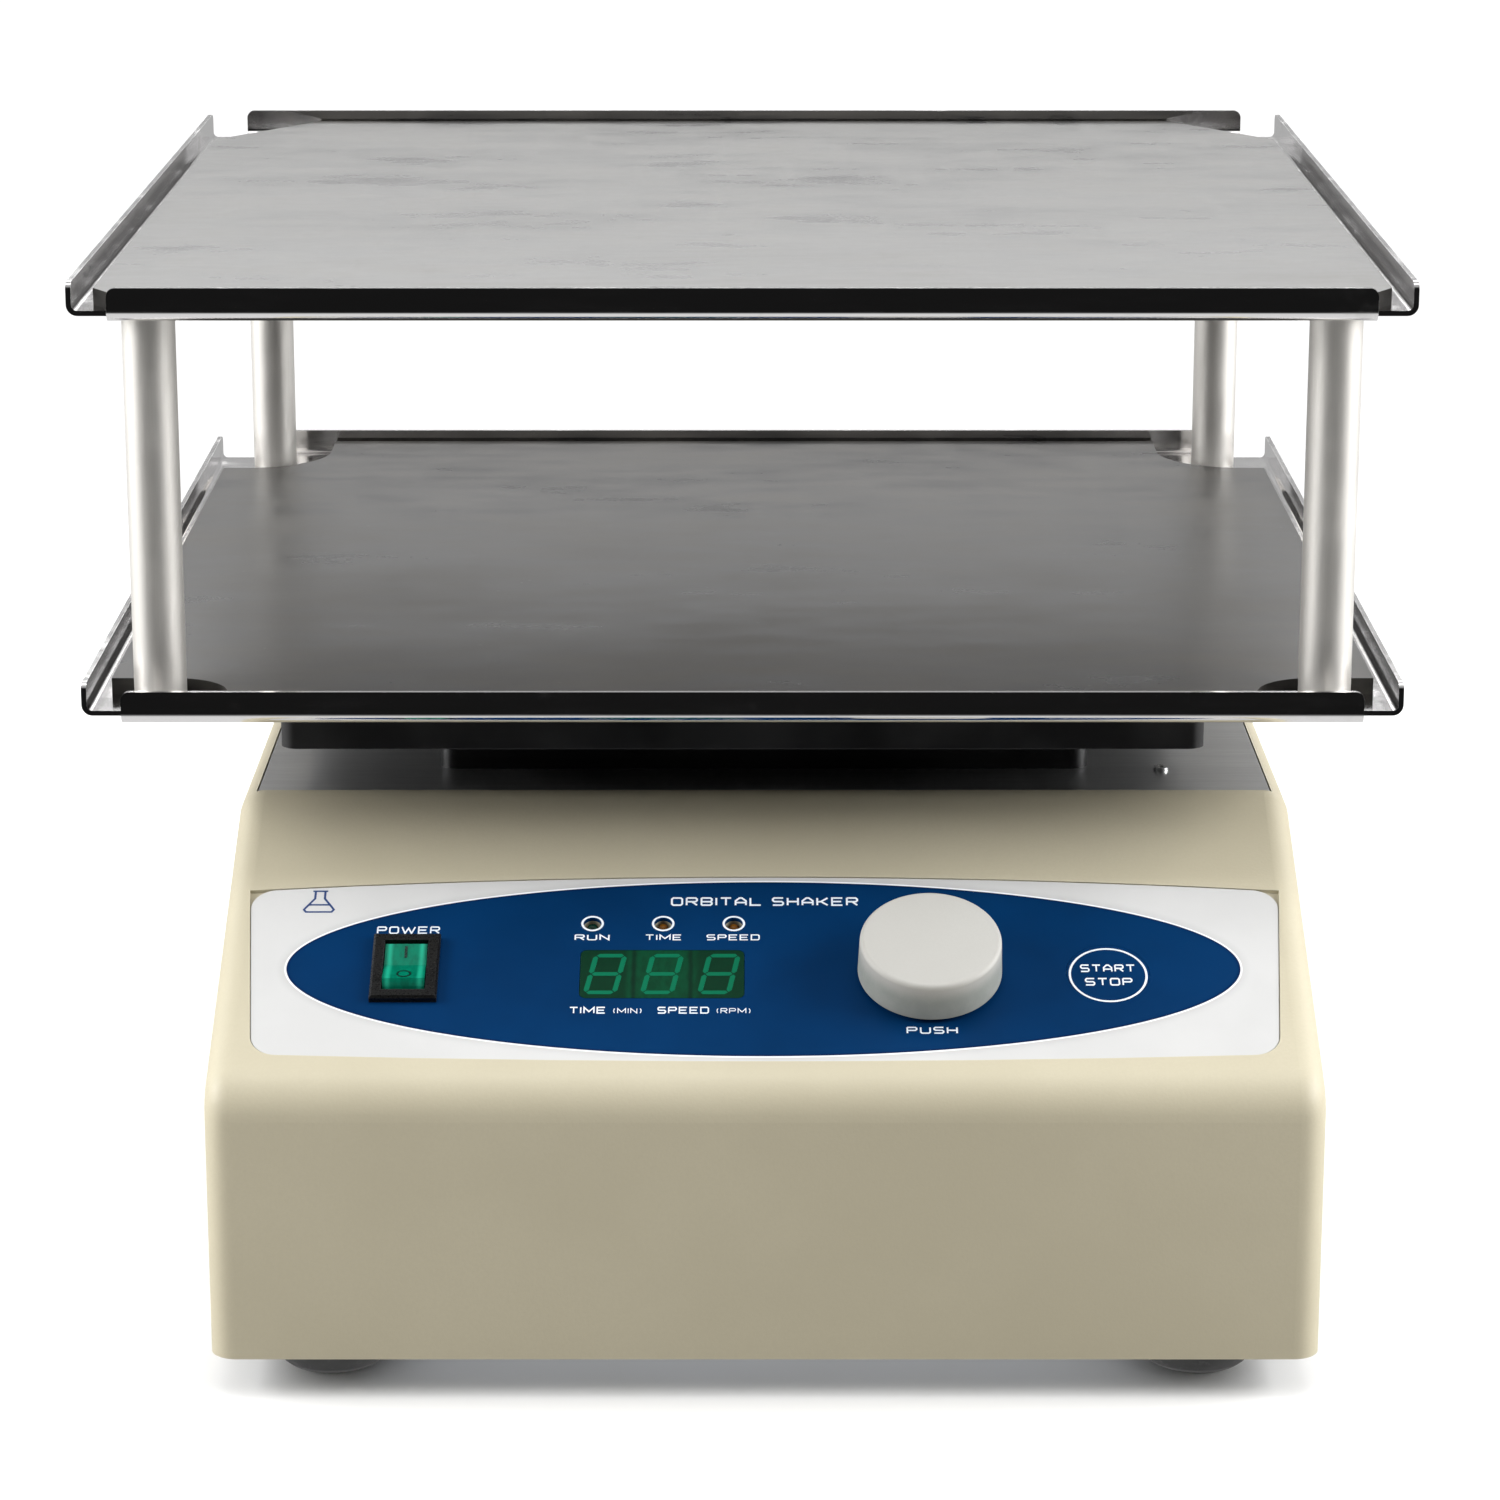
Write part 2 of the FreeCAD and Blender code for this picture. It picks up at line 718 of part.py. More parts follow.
def make_housing():
    shell = new_body("housing_shell")
    profile = sketch_on(shell, "YZ_Plane")
    draw_outline(profile, [
        (-d.housing_front, d.housing_lift),
        (d.housing_rear, d.housing_lift),
        (d.housing_rear, d.housing_height),
        (-d.console_break, d.housing_height),
        (-d.housing_front, console_foot),
    ])
    pad(shell, profile, d.housing_width, both_ways=True)
    round_edges(shell, edges_through(shell.Shape, [(0, -d.housing_front, console_foot)]),
                d.skirt_round)
    brow = [(0, -d.console_break, d.housing_height), (0, d.housing_rear, d.housing_height)]
    round_edges(shell, edges_through(shell.Tip.Shape, brow), d.brow_round)
    flank = half_width.value
    foot = d.housing_lift.value

    def on_flank(edge):
        points = [vertex.Point for vertex in edge.Vertexes]
        beside = all(abs(abs(point.x) - flank) < 1e-4 for point in points)
        across = abs(points[0].x - points[-1].x) > 1e-4
        low = all(abs(point.z - foot) < 1e-4 for point in points)
        return beside and not across and not low

    round_edges(shell, edges_where(shell.Tip.Shape, on_flank), d.flank_round)
    rounded = shell.Tip
    underside = min(range(len(shell.Tip.Shape.Faces)),
                    key=lambda index: shell.Tip.Shape.Faces[index].CenterOfMass.z)
    hollow = shell.newObject("PartDesign::Thickness", "housing_shell_hollow")
    hollow.Base = (rounded, [f"Face{underside + 1}"])
    hollow.Reversed = True
    bind(hollow, Value=d.housing_wall)
    document.recompute()
    if shell.Shape.BoundBox.XLength > rounded.Shape.BoundBox.XLength + 1e-3:
        raise ValueError("the housing was hollowed outwards")

    # ledge that carries the top plate
    reach = half_width - d.housing_wall + 0.5
    ledge = sketch_on(shell, "XY_Plane", plate_bottom - d.ledge_depth)
    front = -d.plate_front - d.plate_gap
    rear = d.housing_rear - d.housing_wall + 0.5
    draw_outline(ledge, [(-reach, front), (reach, front), (reach, rear), (-reach, rear)])
    inner = plate_width / 2 - d.ledge_width
    inner_front = -d.plate_front + d.ledge_width
    inner_rear = plate_rear - d.ledge_width
    draw_outline(ledge, [(-inner, inner_front), (inner, inner_front),
                         (inner, inner_rear), (-inner, inner_rear)])
    pad(shell, ledge, d.ledge_depth)

    # recess and opening for the top plate
    recess = sketch_on(shell, "XY_Plane", plate_bottom)
    rim = (plate_width + d.plate_gap) / 2
    rim_front = -d.plate_front - d.plate_gap / 2
    rim_rear = plate_rear + d.plate_gap / 2
    draw_outline(recess, [(-rim, rim_front), (rim, rim_front), (rim, rim_rear), (-rim, rim_rear)])
    pocket(shell, recess, d.plate_gauge + 2 * d.plate_sink, upward=True)

    opening = sketch_on(shell, "XY_Plane", plate_bottom - d.ledge_depth)
    draw_outline(opening, [(-inner, inner_front), (inner, inner_front),
                           (inner, inner_rear), (-inner, inner_rear)])
    pocket(shell, opening, d.ledge_depth + d.plate_gauge, upward=True)

    # console recess and openings
    face = console_sketch(shell)
    label_outline(face, d.label_gap / 2)
    pocket(shell, face, recess_depth)
    round_edges(shell, edges_where(shell.Tip.Shape, is_recess_corner), d.label_corner + d.label_gap / 2)
    cuts = console_sketch(shell)
    console_openings(cuts, d.slip_gap)
    draw_circle(cuts, 2 * encoder_bushing + d.slip_gap, d.knob_across, d.controls_up)
    pocket(shell, cuts, 2 * d.housing_wall)

    # screw bosses along the walls and on the back of the console
    bosses = sketch_on(shell, "XY_Plane", chassis_top)
    for x, y in boss_spots():
        draw_circle(bosses, d.boss_diameter, x, y)
    pad(shell, bosses, d.boss_height)
    pilots = sketch_on(shell, "XY_Plane", chassis_top)
    for x, y in boss_spots():
        draw_circle(pilots, 3 + 2 * d.running_gap, x, y)
    pocket(shell, pilots, d.boss_height - 8, upward=True)
    pillars = console_sketch(shell, board_face)
    for x, up in board_spots():
        draw_circle(pillars, 7.0, x, up)
    pad(shell, pillars, d.board_depth - recess_depth - 1)
    pillar_pilots = console_sketch(shell, board_face)
    for x, up in board_spots():
        draw_circle(pillar_pilots, 2.5 + 2 * d.running_gap, x, up)
    pocket(shell, pillar_pilots, d.board_depth - d.housing_wall - 1, upward=True)

    # rear wall: the power inlet's cut-out and a row of air slots
    inside = d.housing_rear - d.housing_wall - 1
    window = sketch_on(shell, "XZ_Plane", -inside)
    draw_rectangle(window, d.inlet_width + 0.4, d.inlet_height + 0.4, d.inlet_across, d.inlet_level)
    pocket(shell, window, d.housing_wall + 2)
    slot = sketch_on(shell, "XZ_Plane", -inside)
    first_across = d.motor_across - d.air_slot_row / 2
    draw_rectangle(slot, d.air_slot_width, d.air_slot_height, first_across, d.air_slot_level)
    first_slot = pocket(shell, slot, d.housing_wall + 2)
    slots = shell.newObject("PartDesign::LinearPattern", "housing_shell_slots")
    slots.Originals = [first_slot]
    slots.Direction = (slot, ["H_Axis"])
    bind(slots, Length=d.air_slot_row)
    slots.Occurrences = 9
    shell.Tip = slots
    document.recompute()
    return place(shell)


def make_chassis():
    plate = new_body("chassis_plate")
    drawing = sketch_on(plate, "XY_Plane")
    side = half_width - d.housing_wall - d.chassis_gap
    front = -d.housing_front + d.housing_wall + d.chassis_gap
    rear = d.housing_rear - d.housing_wall - d.chassis_gap
    draw_outline(drawing, [(-side, front), (side, front), (side, rear), (-side, rear)])
    for x, y in boss_spots():
        draw_circle(drawing, d.case_screw_diameter + 1.5 * d.screw_clearance, x, y)
    for x, y in foot_spots():
        draw_circle(drawing, d.foot_screw_diameter + d.screw_clearance, x, y)
    for column in range(-3, 4):
        draw_rectangle(drawing, d.vent_width, d.vent_length, column * d.vent_pitch, -3 * d.vent_length)
    pad(plate, drawing, d.chassis_gauge)
    corners = [(sx * side, y, d.chassis_gauge / 2) for sx in (-1, 1) for y in (front, rear)]
    round_edges(plate, edges_through(plate.Tip.Shape, corners), 3.0)
    place(plate, 0.0, 0.0, chassis_bottom)

    screws = []
    for index, (x, y) in enumerate(boss_spots()):
        screws.append(socket_screw(f"chassis_screw_{index}", d.case_screw_diameter, d.case_screw_length,
                                   d.case_screw_head, d.case_screw_head_height, x, y, chassis_bottom))
    group("chassis_screws", screws)


def foot_spots():
    rows = (-d.housing_front + d.foot_inset, d.housing_rear - d.foot_inset)
    return [(sx * d.foot_across, row) for sx in (-1, 1) for row in rows]


def make_feet():
    feet = []
    screws = []
    for index, (x, y) in enumerate(foot_spots()):
        top = d.foot_diameter / 2
        tread = d.foot_tread / 2
        foot = turned(f"foot_{index}", [
            (5.2, 0.0),
            (tread - 1.2, 0.0),
            (tread, 1.0),
            (top - 0.8, chassis_bottom - 3.6),
            (top, chassis_bottom - 2.6),
            (top, chassis_bottom),
            (2.05, chassis_bottom),
            (2.05, 4.0),
            (5.2, 4.0),
        ])
        feet.append(place(foot, x, y, 0.0))
        screws.append(socket_screw(f"foot_screw_{index}", d.foot_screw_diameter, d.foot_screw_length,
                                   d.foot_screw_head, d.foot_screw_head_height, x, y, d.foot_screw_seat))
    group("rubber_feet", feet)
    group("foot_screws", screws)


# ---------------------------------------------------------------------------------------------
# Top plate, crank block and spindle housing
# ---------------------------------------------------------------------------------------------


def block_screw_spots():
    corners = grid(d.block_width / 2 - d.block_screw_inset, d.block_depth / 2 - d.block_screw_inset)
    return corners, ring_of(4, d.flange_pitch_circle / 2, 45.0)


def idler_spots():
    return [(sx * d.idler_reach, d.idler_setback) for sx in (-1, 1)]


def earth_spot():
    return plate_width / 2 - 24, -d.plate_front + 19


def make_top():
    plate = new_body("top_plate")
    drawing = sketch_on(plate, "XY_Plane")
    half = plate_width / 2
    draw_outline(drawing, [(-half, -d.plate_front), (half, -d.plate_front),
                           (half, plate_rear), (-half, plate_rear)])
    draw_circle(drawing, d.spindle_bearing_od)
    corners, flange_ring = block_screw_spots()
    for x, y in corners + flange_ring:
        draw_circle(drawing, d.block_screw_diameter + d.screw_clearance, x, y)
    draw_circle(drawing, d.earth_screw_diameter + 2 * d.running_gap, *earth_spot())
    pad(plate, drawing, d.plate_gauge)
    rim = [(0, -d.plate_front, d.plate_gauge), (0, plate_rear, d.plate_gauge)]
    rim += [(side * half, 0, d.plate_gauge) for side in (-1, 1)]
    bevel_edges(plate, edges_through(plate.Tip.Shape, rim), 0.3)
    place(plate, 0.0, 0.0, plate_bottom)
    earth_x, earth_y = earth_spot()
    socket_screw("earth_screw", d.earth_screw_diameter, d.earth_screw_length, d.earth_head_diameter,
                 d.earth_head_height, earth_x, earth_y, plate_top, upward=False)

    block = new_body("crank_block")
    outline = sketch_on(block, "XY_Plane")
    draw_rectangle(outline, d.block_width, d.block_depth, as_size(0), as_size(0))
    draw_circle(outline, d.web_diameter + 6)
    for x, y in corners + flange_ring:
        draw_circle(outline, d.block_screw_diameter + 2 * d.running_gap, x, y)
    pad(block, outline, d.block_height)
    pockets = sketch_on(block, "XY_Plane", idler_pocket_floor - plate_top)
    seats = sketch_on(block, "XY_Plane", idler_seat_floor - plate_top)
    for x, y in idler_spots():
        draw_circle(pockets, d.idler_web_diameter + 4, x, y)
        draw_circle(seats, d.pin_bearing_od, x, y)
    pocket(block, pockets, d.block_height, upward=True)
    pocket(block, seats, d.block_height, upward=True)
    corner_edges = [(sx * d.block_width / 2, sy * d.block_depth / 2, d.block_height / 2)
                    for sx in (-1, 1) for sy in (-1, 1)]
    round_edges(block, edges_through(block.Tip.Shape, corner_edges), 4.0)
    place(block, 0.0, 0.0, plate_top)

    screws = []
    seats = [(spot, plate_bottom) for spot in corners] + [(spot, flange_bottom) for spot in flange_ring]
    for index, ((x, y), seat) in enumerate(seats):
        screws.append(socket_screw(f"block_screw_{index}", d.block_screw_diameter, d.block_screw_length,
                                   d.block_screw_head, d.block_screw_head_height, x, y, seat))
    group("block_screws", screws)

    tube = d.spindle_bearing_od / 2 + d.housing_tube_wall
    shoulder = d.spindle_bearing_od / 2 - 3
    seat = d.spindle_bearing_od / 2
    width = d.spindle_bearing_width
    length = d.housing_tube_length
    flange = d.flange_diameter / 2
    housing = turned("spindle_housing", [
        (seat, 0.0),
        (tube, 0.0),
        (tube, length - d.flange_thickness),
        (flange, length - d.flange_thickness),
        (flange, length),
        (seat, length),
        (seat, length - width),
        (shoulder, length - width),
        (shoulder, width),
        (seat, width),
    ])
    holes = sketch_on(housing, "XY_Plane", length - d.flange_thickness)
    for x, y in flange_ring:
        draw_circle(holes, 5.4, x, y)
    pocket(housing, holes, d.flange_thickness, upward=True)
    place(housing, 0.0, 0.0, tube_bottom)


# ---------------------------------------------------------------------------------------------
# Cranks and their bearings
# ---------------------------------------------------------------------------------------------


def make_cranks():
    upper_seat = plate_bottom - d.spindle_bearing_width
    top_outer, top_inner, top_balls = bearing_rings("upper_bearing", "spindle", 0.0, 0.0, upper_seat)
    low_outer, low_inner, low_balls = bearing_rings("lower_bearing", "spindle", 0.0, 0.0, tube_bottom)
    main_outer, main_inner, main_balls = bearing_rings("carriage_bearing", "pin", pin_x, pin_y,
                                                       pin_bearing_bottom)
    fixed_outers = [top_outer, low_outer]
    carriage_outers = [main_outer]
    group("drive_inner_rings", [top_inner, low_inner, main_inner])
    group("drive_bearing_balls", top_balls + low_balls + main_balls)

    shaft = d.spindle_diameter / 2
    collar = shaft + 1.5
    web = d.web_diameter / 2
    foot = d.spindle_foot
    collar_low = tube_bottom + d.spindle_bearing_width
    spindle = turned("crank_spindle", [
        (0.0, foot),
        (shaft - 0.8, foot),
        (shaft, foot + 0.8),
        (shaft, collar_low),
        (collar, collar_low),
        (collar, upper_seat),
        (shaft, upper_seat),
        (shaft, plate_bottom),
        (collar, plate_bottom),
        (collar, web_bottom),
        (web - 1.0, web_bottom),
        (web, web_bottom + 1.0),
        (web, web_top - 1.0),
        (web - 1.0, web_top),
        (0.0, web_top),
    ])
    pin = sketch_on(spindle, "XY_Plane", web_top - 1)
    draw_circle(pin, d.pin_diameter, pin_x, pin_y)
    pad(spindle, pin, pin_top - web_top + 1)
    place(spindle)

    for side, (x, y) in zip(("left", "right"), idler_spots()):
        base_outer, base_inner, base_balls = bearing_rings(f"{side}_base_bearing", "pin", x, y,
                                                           idler_seat_floor)
        ride_outer, ride_inner, ride_balls = bearing_rings(f"{side}_ride_bearing", "pin", x + pin_x,
                                                           y + pin_y, pin_bearing_bottom)
        fixed_outers.append(base_outer)
        carriage_outers.append(ride_outer)
        group(f"{side}_idler_inner_rings", [base_inner, ride_inner])
        group(f"{side}_idler_balls", base_balls + ride_balls)
        crank = new_body(f"{side}_idler_crank")
        journal = sketch_on(crank, "XY_Plane", idler_seat_floor + d.part_gap)
        draw_circle(journal, d.pin_diameter)
        pad(crank, journal, idler_web_bottom - idler_seat_floor)
        disc = sketch_on(crank, "XY_Plane", idler_web_bottom)
        draw_circle(disc, d.idler_web_diameter)
        pad(crank, disc, d.idler_web_thickness)
        stub = sketch_on(crank, "XY_Plane", web_top - 1)
        draw_circle(stub, d.pin_diameter, pin_x, pin_y)
        pad(crank, stub, pin_top - web_top + 1)
        place(crank, x, y, 0.0)
    group("fixed_outer_rings", fixed_outers)
    group("carriage_outer_rings", carriage_outers)


# ---------------------------------------------------------------------------------------------
# Belt drive, counterweight and motor
# ---------------------------------------------------------------------------------------------


def grooved_pulley(label, diameter, bore, hub):
    """A ribbed-belt pulley: two rims with a run of V grooves between them."""
    radius = diameter / 2
    width = d.pulley_width
    ribs = 5
    pitch = d.belt_width / ribs
    start = (width - d.belt_width) / 2
    tread = radius - d.groove_depth
    profile = [(bore / 2, 0.0), (radius + 1.5, 0.0), (radius + 1.5, start - 0.8), (tread, start)]
    for rib in range(ribs):
        profile.append((radius, start + pitch * rib + pitch / 2))
        profile.append((tread, start + pitch * (rib + 1)))
    profile += [(radius + 1.5, start + d.belt_width + 0.8), (radius + 1.5, width)]
    if hub is not None:
        profile += [(radius - 6, width), (radius - 6, width / 2 + 2.5), (hub / 2, width / 2 + 2.5),
                    (hub / 2, width)]
    profile.append((bore / 2, width))
    return turned(label, profile)


def belt_loop(near_radius, far_radius, distance):
    """A belt's outline round two pulleys that stand apart along X, as a closed wire."""
    lean = math.acos((near_radius - far_radius) / distance)

    def on(centre, radius, angle):
        return FreeCAD.Vector(centre + radius * math.cos(angle), radius * math.sin(angle), 0)

    near_start, near_end = on(0, near_radius, lean), on(0, near_radius, -lean)
    far_start, far_end = on(distance, far_radius, -lean), on(distance, far_radius, lean)
    near_arc = Part.Arc(near_start, on(0, near_radius, math.pi), near_end).toShape()
    far_arc = Part.Arc(far_start, on(distance, far_radius, 0), far_end).toShape()
    there = Part.LineSegment(near_end, far_start).toShape()
    back = Part.LineSegment(far_end, near_start).toShape()
    return Part.Wire([near_arc, there, far_arc, back])


def make_drive():
    pulley = grooved_pulley("drive_pulley", d.drive_pulley_diameter, d.spindle_diameter,
                            d.spindle_diameter + 16)
    place(pulley, 0.0, 0.0, d.pulley_level)
    small = grooved_pulley("motor_pulley", d.motor_pulley_diameter, d.motor_shaft_diameter, None)
    place(small, d.motor_across, d.motor_behind, d.pulley_level)

    distance = root(d.motor_across * d.motor_across + d.motor_behind * d.motor_behind).value
    near = d.drive_pulley_diameter.value / 2 + d.part_gap.value
    far = d.motor_pulley_diameter.value / 2 + d.part_gap.value
    thickness = d.belt_thickness.value
    inside = Part.Face(belt_loop(near, far, distance))
    outside = Part.Face(belt_loop(near + thickness, far + thickness, distance))
    belt = document.addObject("Part::Feature", "drive_belt")
    belt.Label = "drive_belt"
    belt.Shape = outside.cut(inside).extrude(FreeCAD.Vector(0, 0, d.belt_width.value))
    heading = math.degrees(math.atan2(d.motor_behind.value, d.motor_across.value))
    spot = FreeCAD.Vector(axis_x.value, axis_y.value, belt_bottom.value)
    belt.Placement = FreeCAD.Placement(spot, FreeCAD.Rotation(FreeCAD.Vector(0, 0, 1), heading))

    # the weight stands opposite the crank pin, clamped under the pulley
    weight_foot = d.pulley_level - d.counterweight_thickness - 3
    sector = document.addObject("Part::Cylinder", "counterweight_sector")
    bind(sector, Radius=d.counterweight_radius, Height=d.counterweight_thickness,
         Angle=d.counterweight_spread)
    start = d.rest_phase - 180 - d.counterweight_spread / 2
    turn = FreeCAD.Rotation(FreeCAD.Vector(0, 0, 1), start.value)
    place(sector, 0.0, 0.0, weight_foot)
    sector.Placement = FreeCAD.Placement(sector.Placement.Base, turn)
    sector.setExpression(".Placement.Rotation.Angle", start.text)
    hub = rod("counterweight_hub", d.spindle_diameter + 16, d.counterweight_thickness + 3,
              0.0, 0.0, weight_foot)
    blank = fuse("counterweight_blank", [sector, hub])
    bore = rod("counterweight_bore", d.spindle_diameter, d.counterweight_thickness + 3,
               0.0, 0.0, weight_foot)
    cut("counterweight", blank, bore)


def make_motor():
    x, y = d.motor_across, d.motor_behind
    plate_level = pulley_top + 5
    can_bottom = plate_level + d.motor_plate_gauge
    length = d.motor_length
    outer = d.motor_diameter / 2
    inner = outer - d.motor_wall
    shaft = d.motor_shaft_diameter / 2
    sleeve = shaft + d.running_gap
    can = turned("motor_can", [
        (sleeve, 0.0),
        (outer - 1.5, 0.0),
        (outer, 1.5),
        (outer, length - 1.5),
        (outer - 1.5, length),
        (0.0, length),
        (0.0, length - d.motor_wall),
        (inner, length - d.motor_wall),
        (inner, d.motor_wall),
        (sleeve + 4, d.motor_wall),
        (sleeve + 4, 6.0),
        (sleeve, 6.0),
    ])
    place(can, x, y, can_bottom)
    stack = length - 2 * d.motor_wall - 8
    stator_bore = d.motor_diameter * 0.66
    cut("motor_stator",
        rod("stator_outside", 2 * inner, stack, x, y, can_bottom + d.motor_wall + 4),
        rod("stator_inside", stator_bore, stack, x, y, can_bottom + d.motor_wall + 4))
    magnet = stator_bore / 2 - 2 * d.part_gap
    shaft_foot = d.pulley_level + 1
    rotor_low = can_bottom + d.motor_wall + 5 - shaft_foot
    rotor_high = rotor_low + stack - 2
    shaft_top = can_bottom + length - d.motor_wall - 1 - shaft_foot
    rotor = turned("motor_rotor", [
        (0.0, 0.0),
        (shaft, 0.0),
        (shaft, rotor_low),
        (magnet, rotor_low),
        (magnet, rotor_high),
        (shaft, rotor_high),
        (shaft, shaft_top),
        (0.0, shaft_top),
    ])
    place(rotor, x, y, shaft_foot)

    plate = new_body("motor_plate")
    drawing = sketch_on(plate, "XY_Plane")
    draw_rectangle(drawing, d.motor_plate_size, d.motor_plate_size, as_size(0), as_size(0))
    draw_circle(drawing, 24.0)
    for pin_across, pin_along in grid(as_size(24), as_size(24)):
        draw_circle(drawing, 3.6, pin_across, pin_along)
    pad(plate, drawing, d.motor_plate_gauge)
    round_edges(plate, edges_where(plate.Tip.Shape, is_upright), 5.0)
    place(plate, x, y, plate_level)
    offset = d.motor_plate_size / 2 - d.motor_standoff_diameter / 2 - 1
    standoffs = []
    for index, (dx, dy) in enumerate(grid(offset, offset)):
        standoffs.append(rod(f"motor_standoff_{index}", d.motor_standoff_diameter,
                             plate_bottom - can_bottom, x + dx, y + dy, can_bottom))
    group("motor_standoffs", standoffs)


# ---------------------------------------------------------------------------------------------
# Carriage, trays, mats and posts
# ---------------------------------------------------------------------------------------------


def post_spots():
    offset = d.tray_size / 2 - d.post_inset
    return [(pin_x + x, pin_y + y) for x, y in grid(offset, offset)]


def carriage_screw_spots():
    corners = grid(d.carriage_width / 2 - 14, d.carriage_depth / 2 - 16)
    return [(pin_x + x, pin_y + y) for x, y in corners]


def deck_screws(kind, gap=0.0):
    """The countersunk screws of one kind; with a gap they serve as the cutters of their holes."""
    tag = "cutter" if gap else "screw"
    screws = []
    if kind == "carriage":
        face = lower_floor + d.tray_gauge
        for index, (x, y) in enumerate(carriage_screw_spots()):
            name = f"carriage_{tag}_{index}"
            screws.append(flat_screw(name, 4.0, 9.0, 8.6, 2.4, x, y, face, gap=gap))
    else:
        for index, (x, y) in enumerate(post_spots()):
            top = upper_floor + d.tray_gauge
            screws.append(flat_screw(f"upper_post_{tag}_{index}", 5.0, 14.0, 9.2, 2.6, x, y, top, gap=gap))
            screws.append(flat_screw(f"lower_post_{tag}_{index}", 5.0, 14.0, 9.2, 2.6, x, y, lower_floor,
                                     upward=True, gap=gap))
    return screws


def tray_blank(label):
    """A square sheet with four upturned flanges and open corners, its floor's underside at 0."""
    tray = new_body(label)
    half = d.tray_size / 2
    gauge = d.tray_gauge
    height = d.tray_flange
    front_length = d.tray_size - 2 * d.front_flange_setback
    side_length = d.tray_size - 2 * d.side_flange_setback
    outline = [(-half, 0.0), (half, 0.0), (half, height), (half - gauge, height),
               (half - gauge, gauge), (-half + gauge, gauge), (-half + gauge, height), (-half, height)]
    lengthwise = sketch_on(tray, "YZ_Plane")
    draw_outline(lengthwise, outline)
    pad(tray, lengthwise, front_length, both_ways=True)
    crosswise = sketch_on(tray, "XZ_Plane")
    draw_outline(crosswise, outline)
    pad(tray, crosswise, side_length, both_ways=True)
    bends = []
    for sign in (-1, 1):
        bends += [(0, sign * half, 0), (sign * half, 0, 0)]
    round_edges(tray, edges_through(tray.Tip.Shape, bends), d.tray_bend)
    creases = []
    for sign in (-1, 1):
        creases += [(0, sign * (half - gauge), gauge), (sign * (half - gauge), 0, gauge)]
    round_edges(tray, edges_through(tray.Tip.Shape, creases), d.tray_bend - gauge)
    ends = []
    for sx in (-1, 1):
        for sy in (-1, 1):
            ends.append((sx * front_length / 2, sy * (half - gauge / 2), height))
            ends.append((sx * (half - gauge / 2), sy * side_length / 2, height))
    round_edges(tray, edges_through(tray.Tip.Shape, ends), 2.0)
    return tray


def mat_body(label, corners):
    mat = new_body(label)
    drawing = sketch_on(mat, "XY_Plane")
    draw_outline(drawing, corners)
    pad(mat, drawing, d.mat_thickness)
    return mat


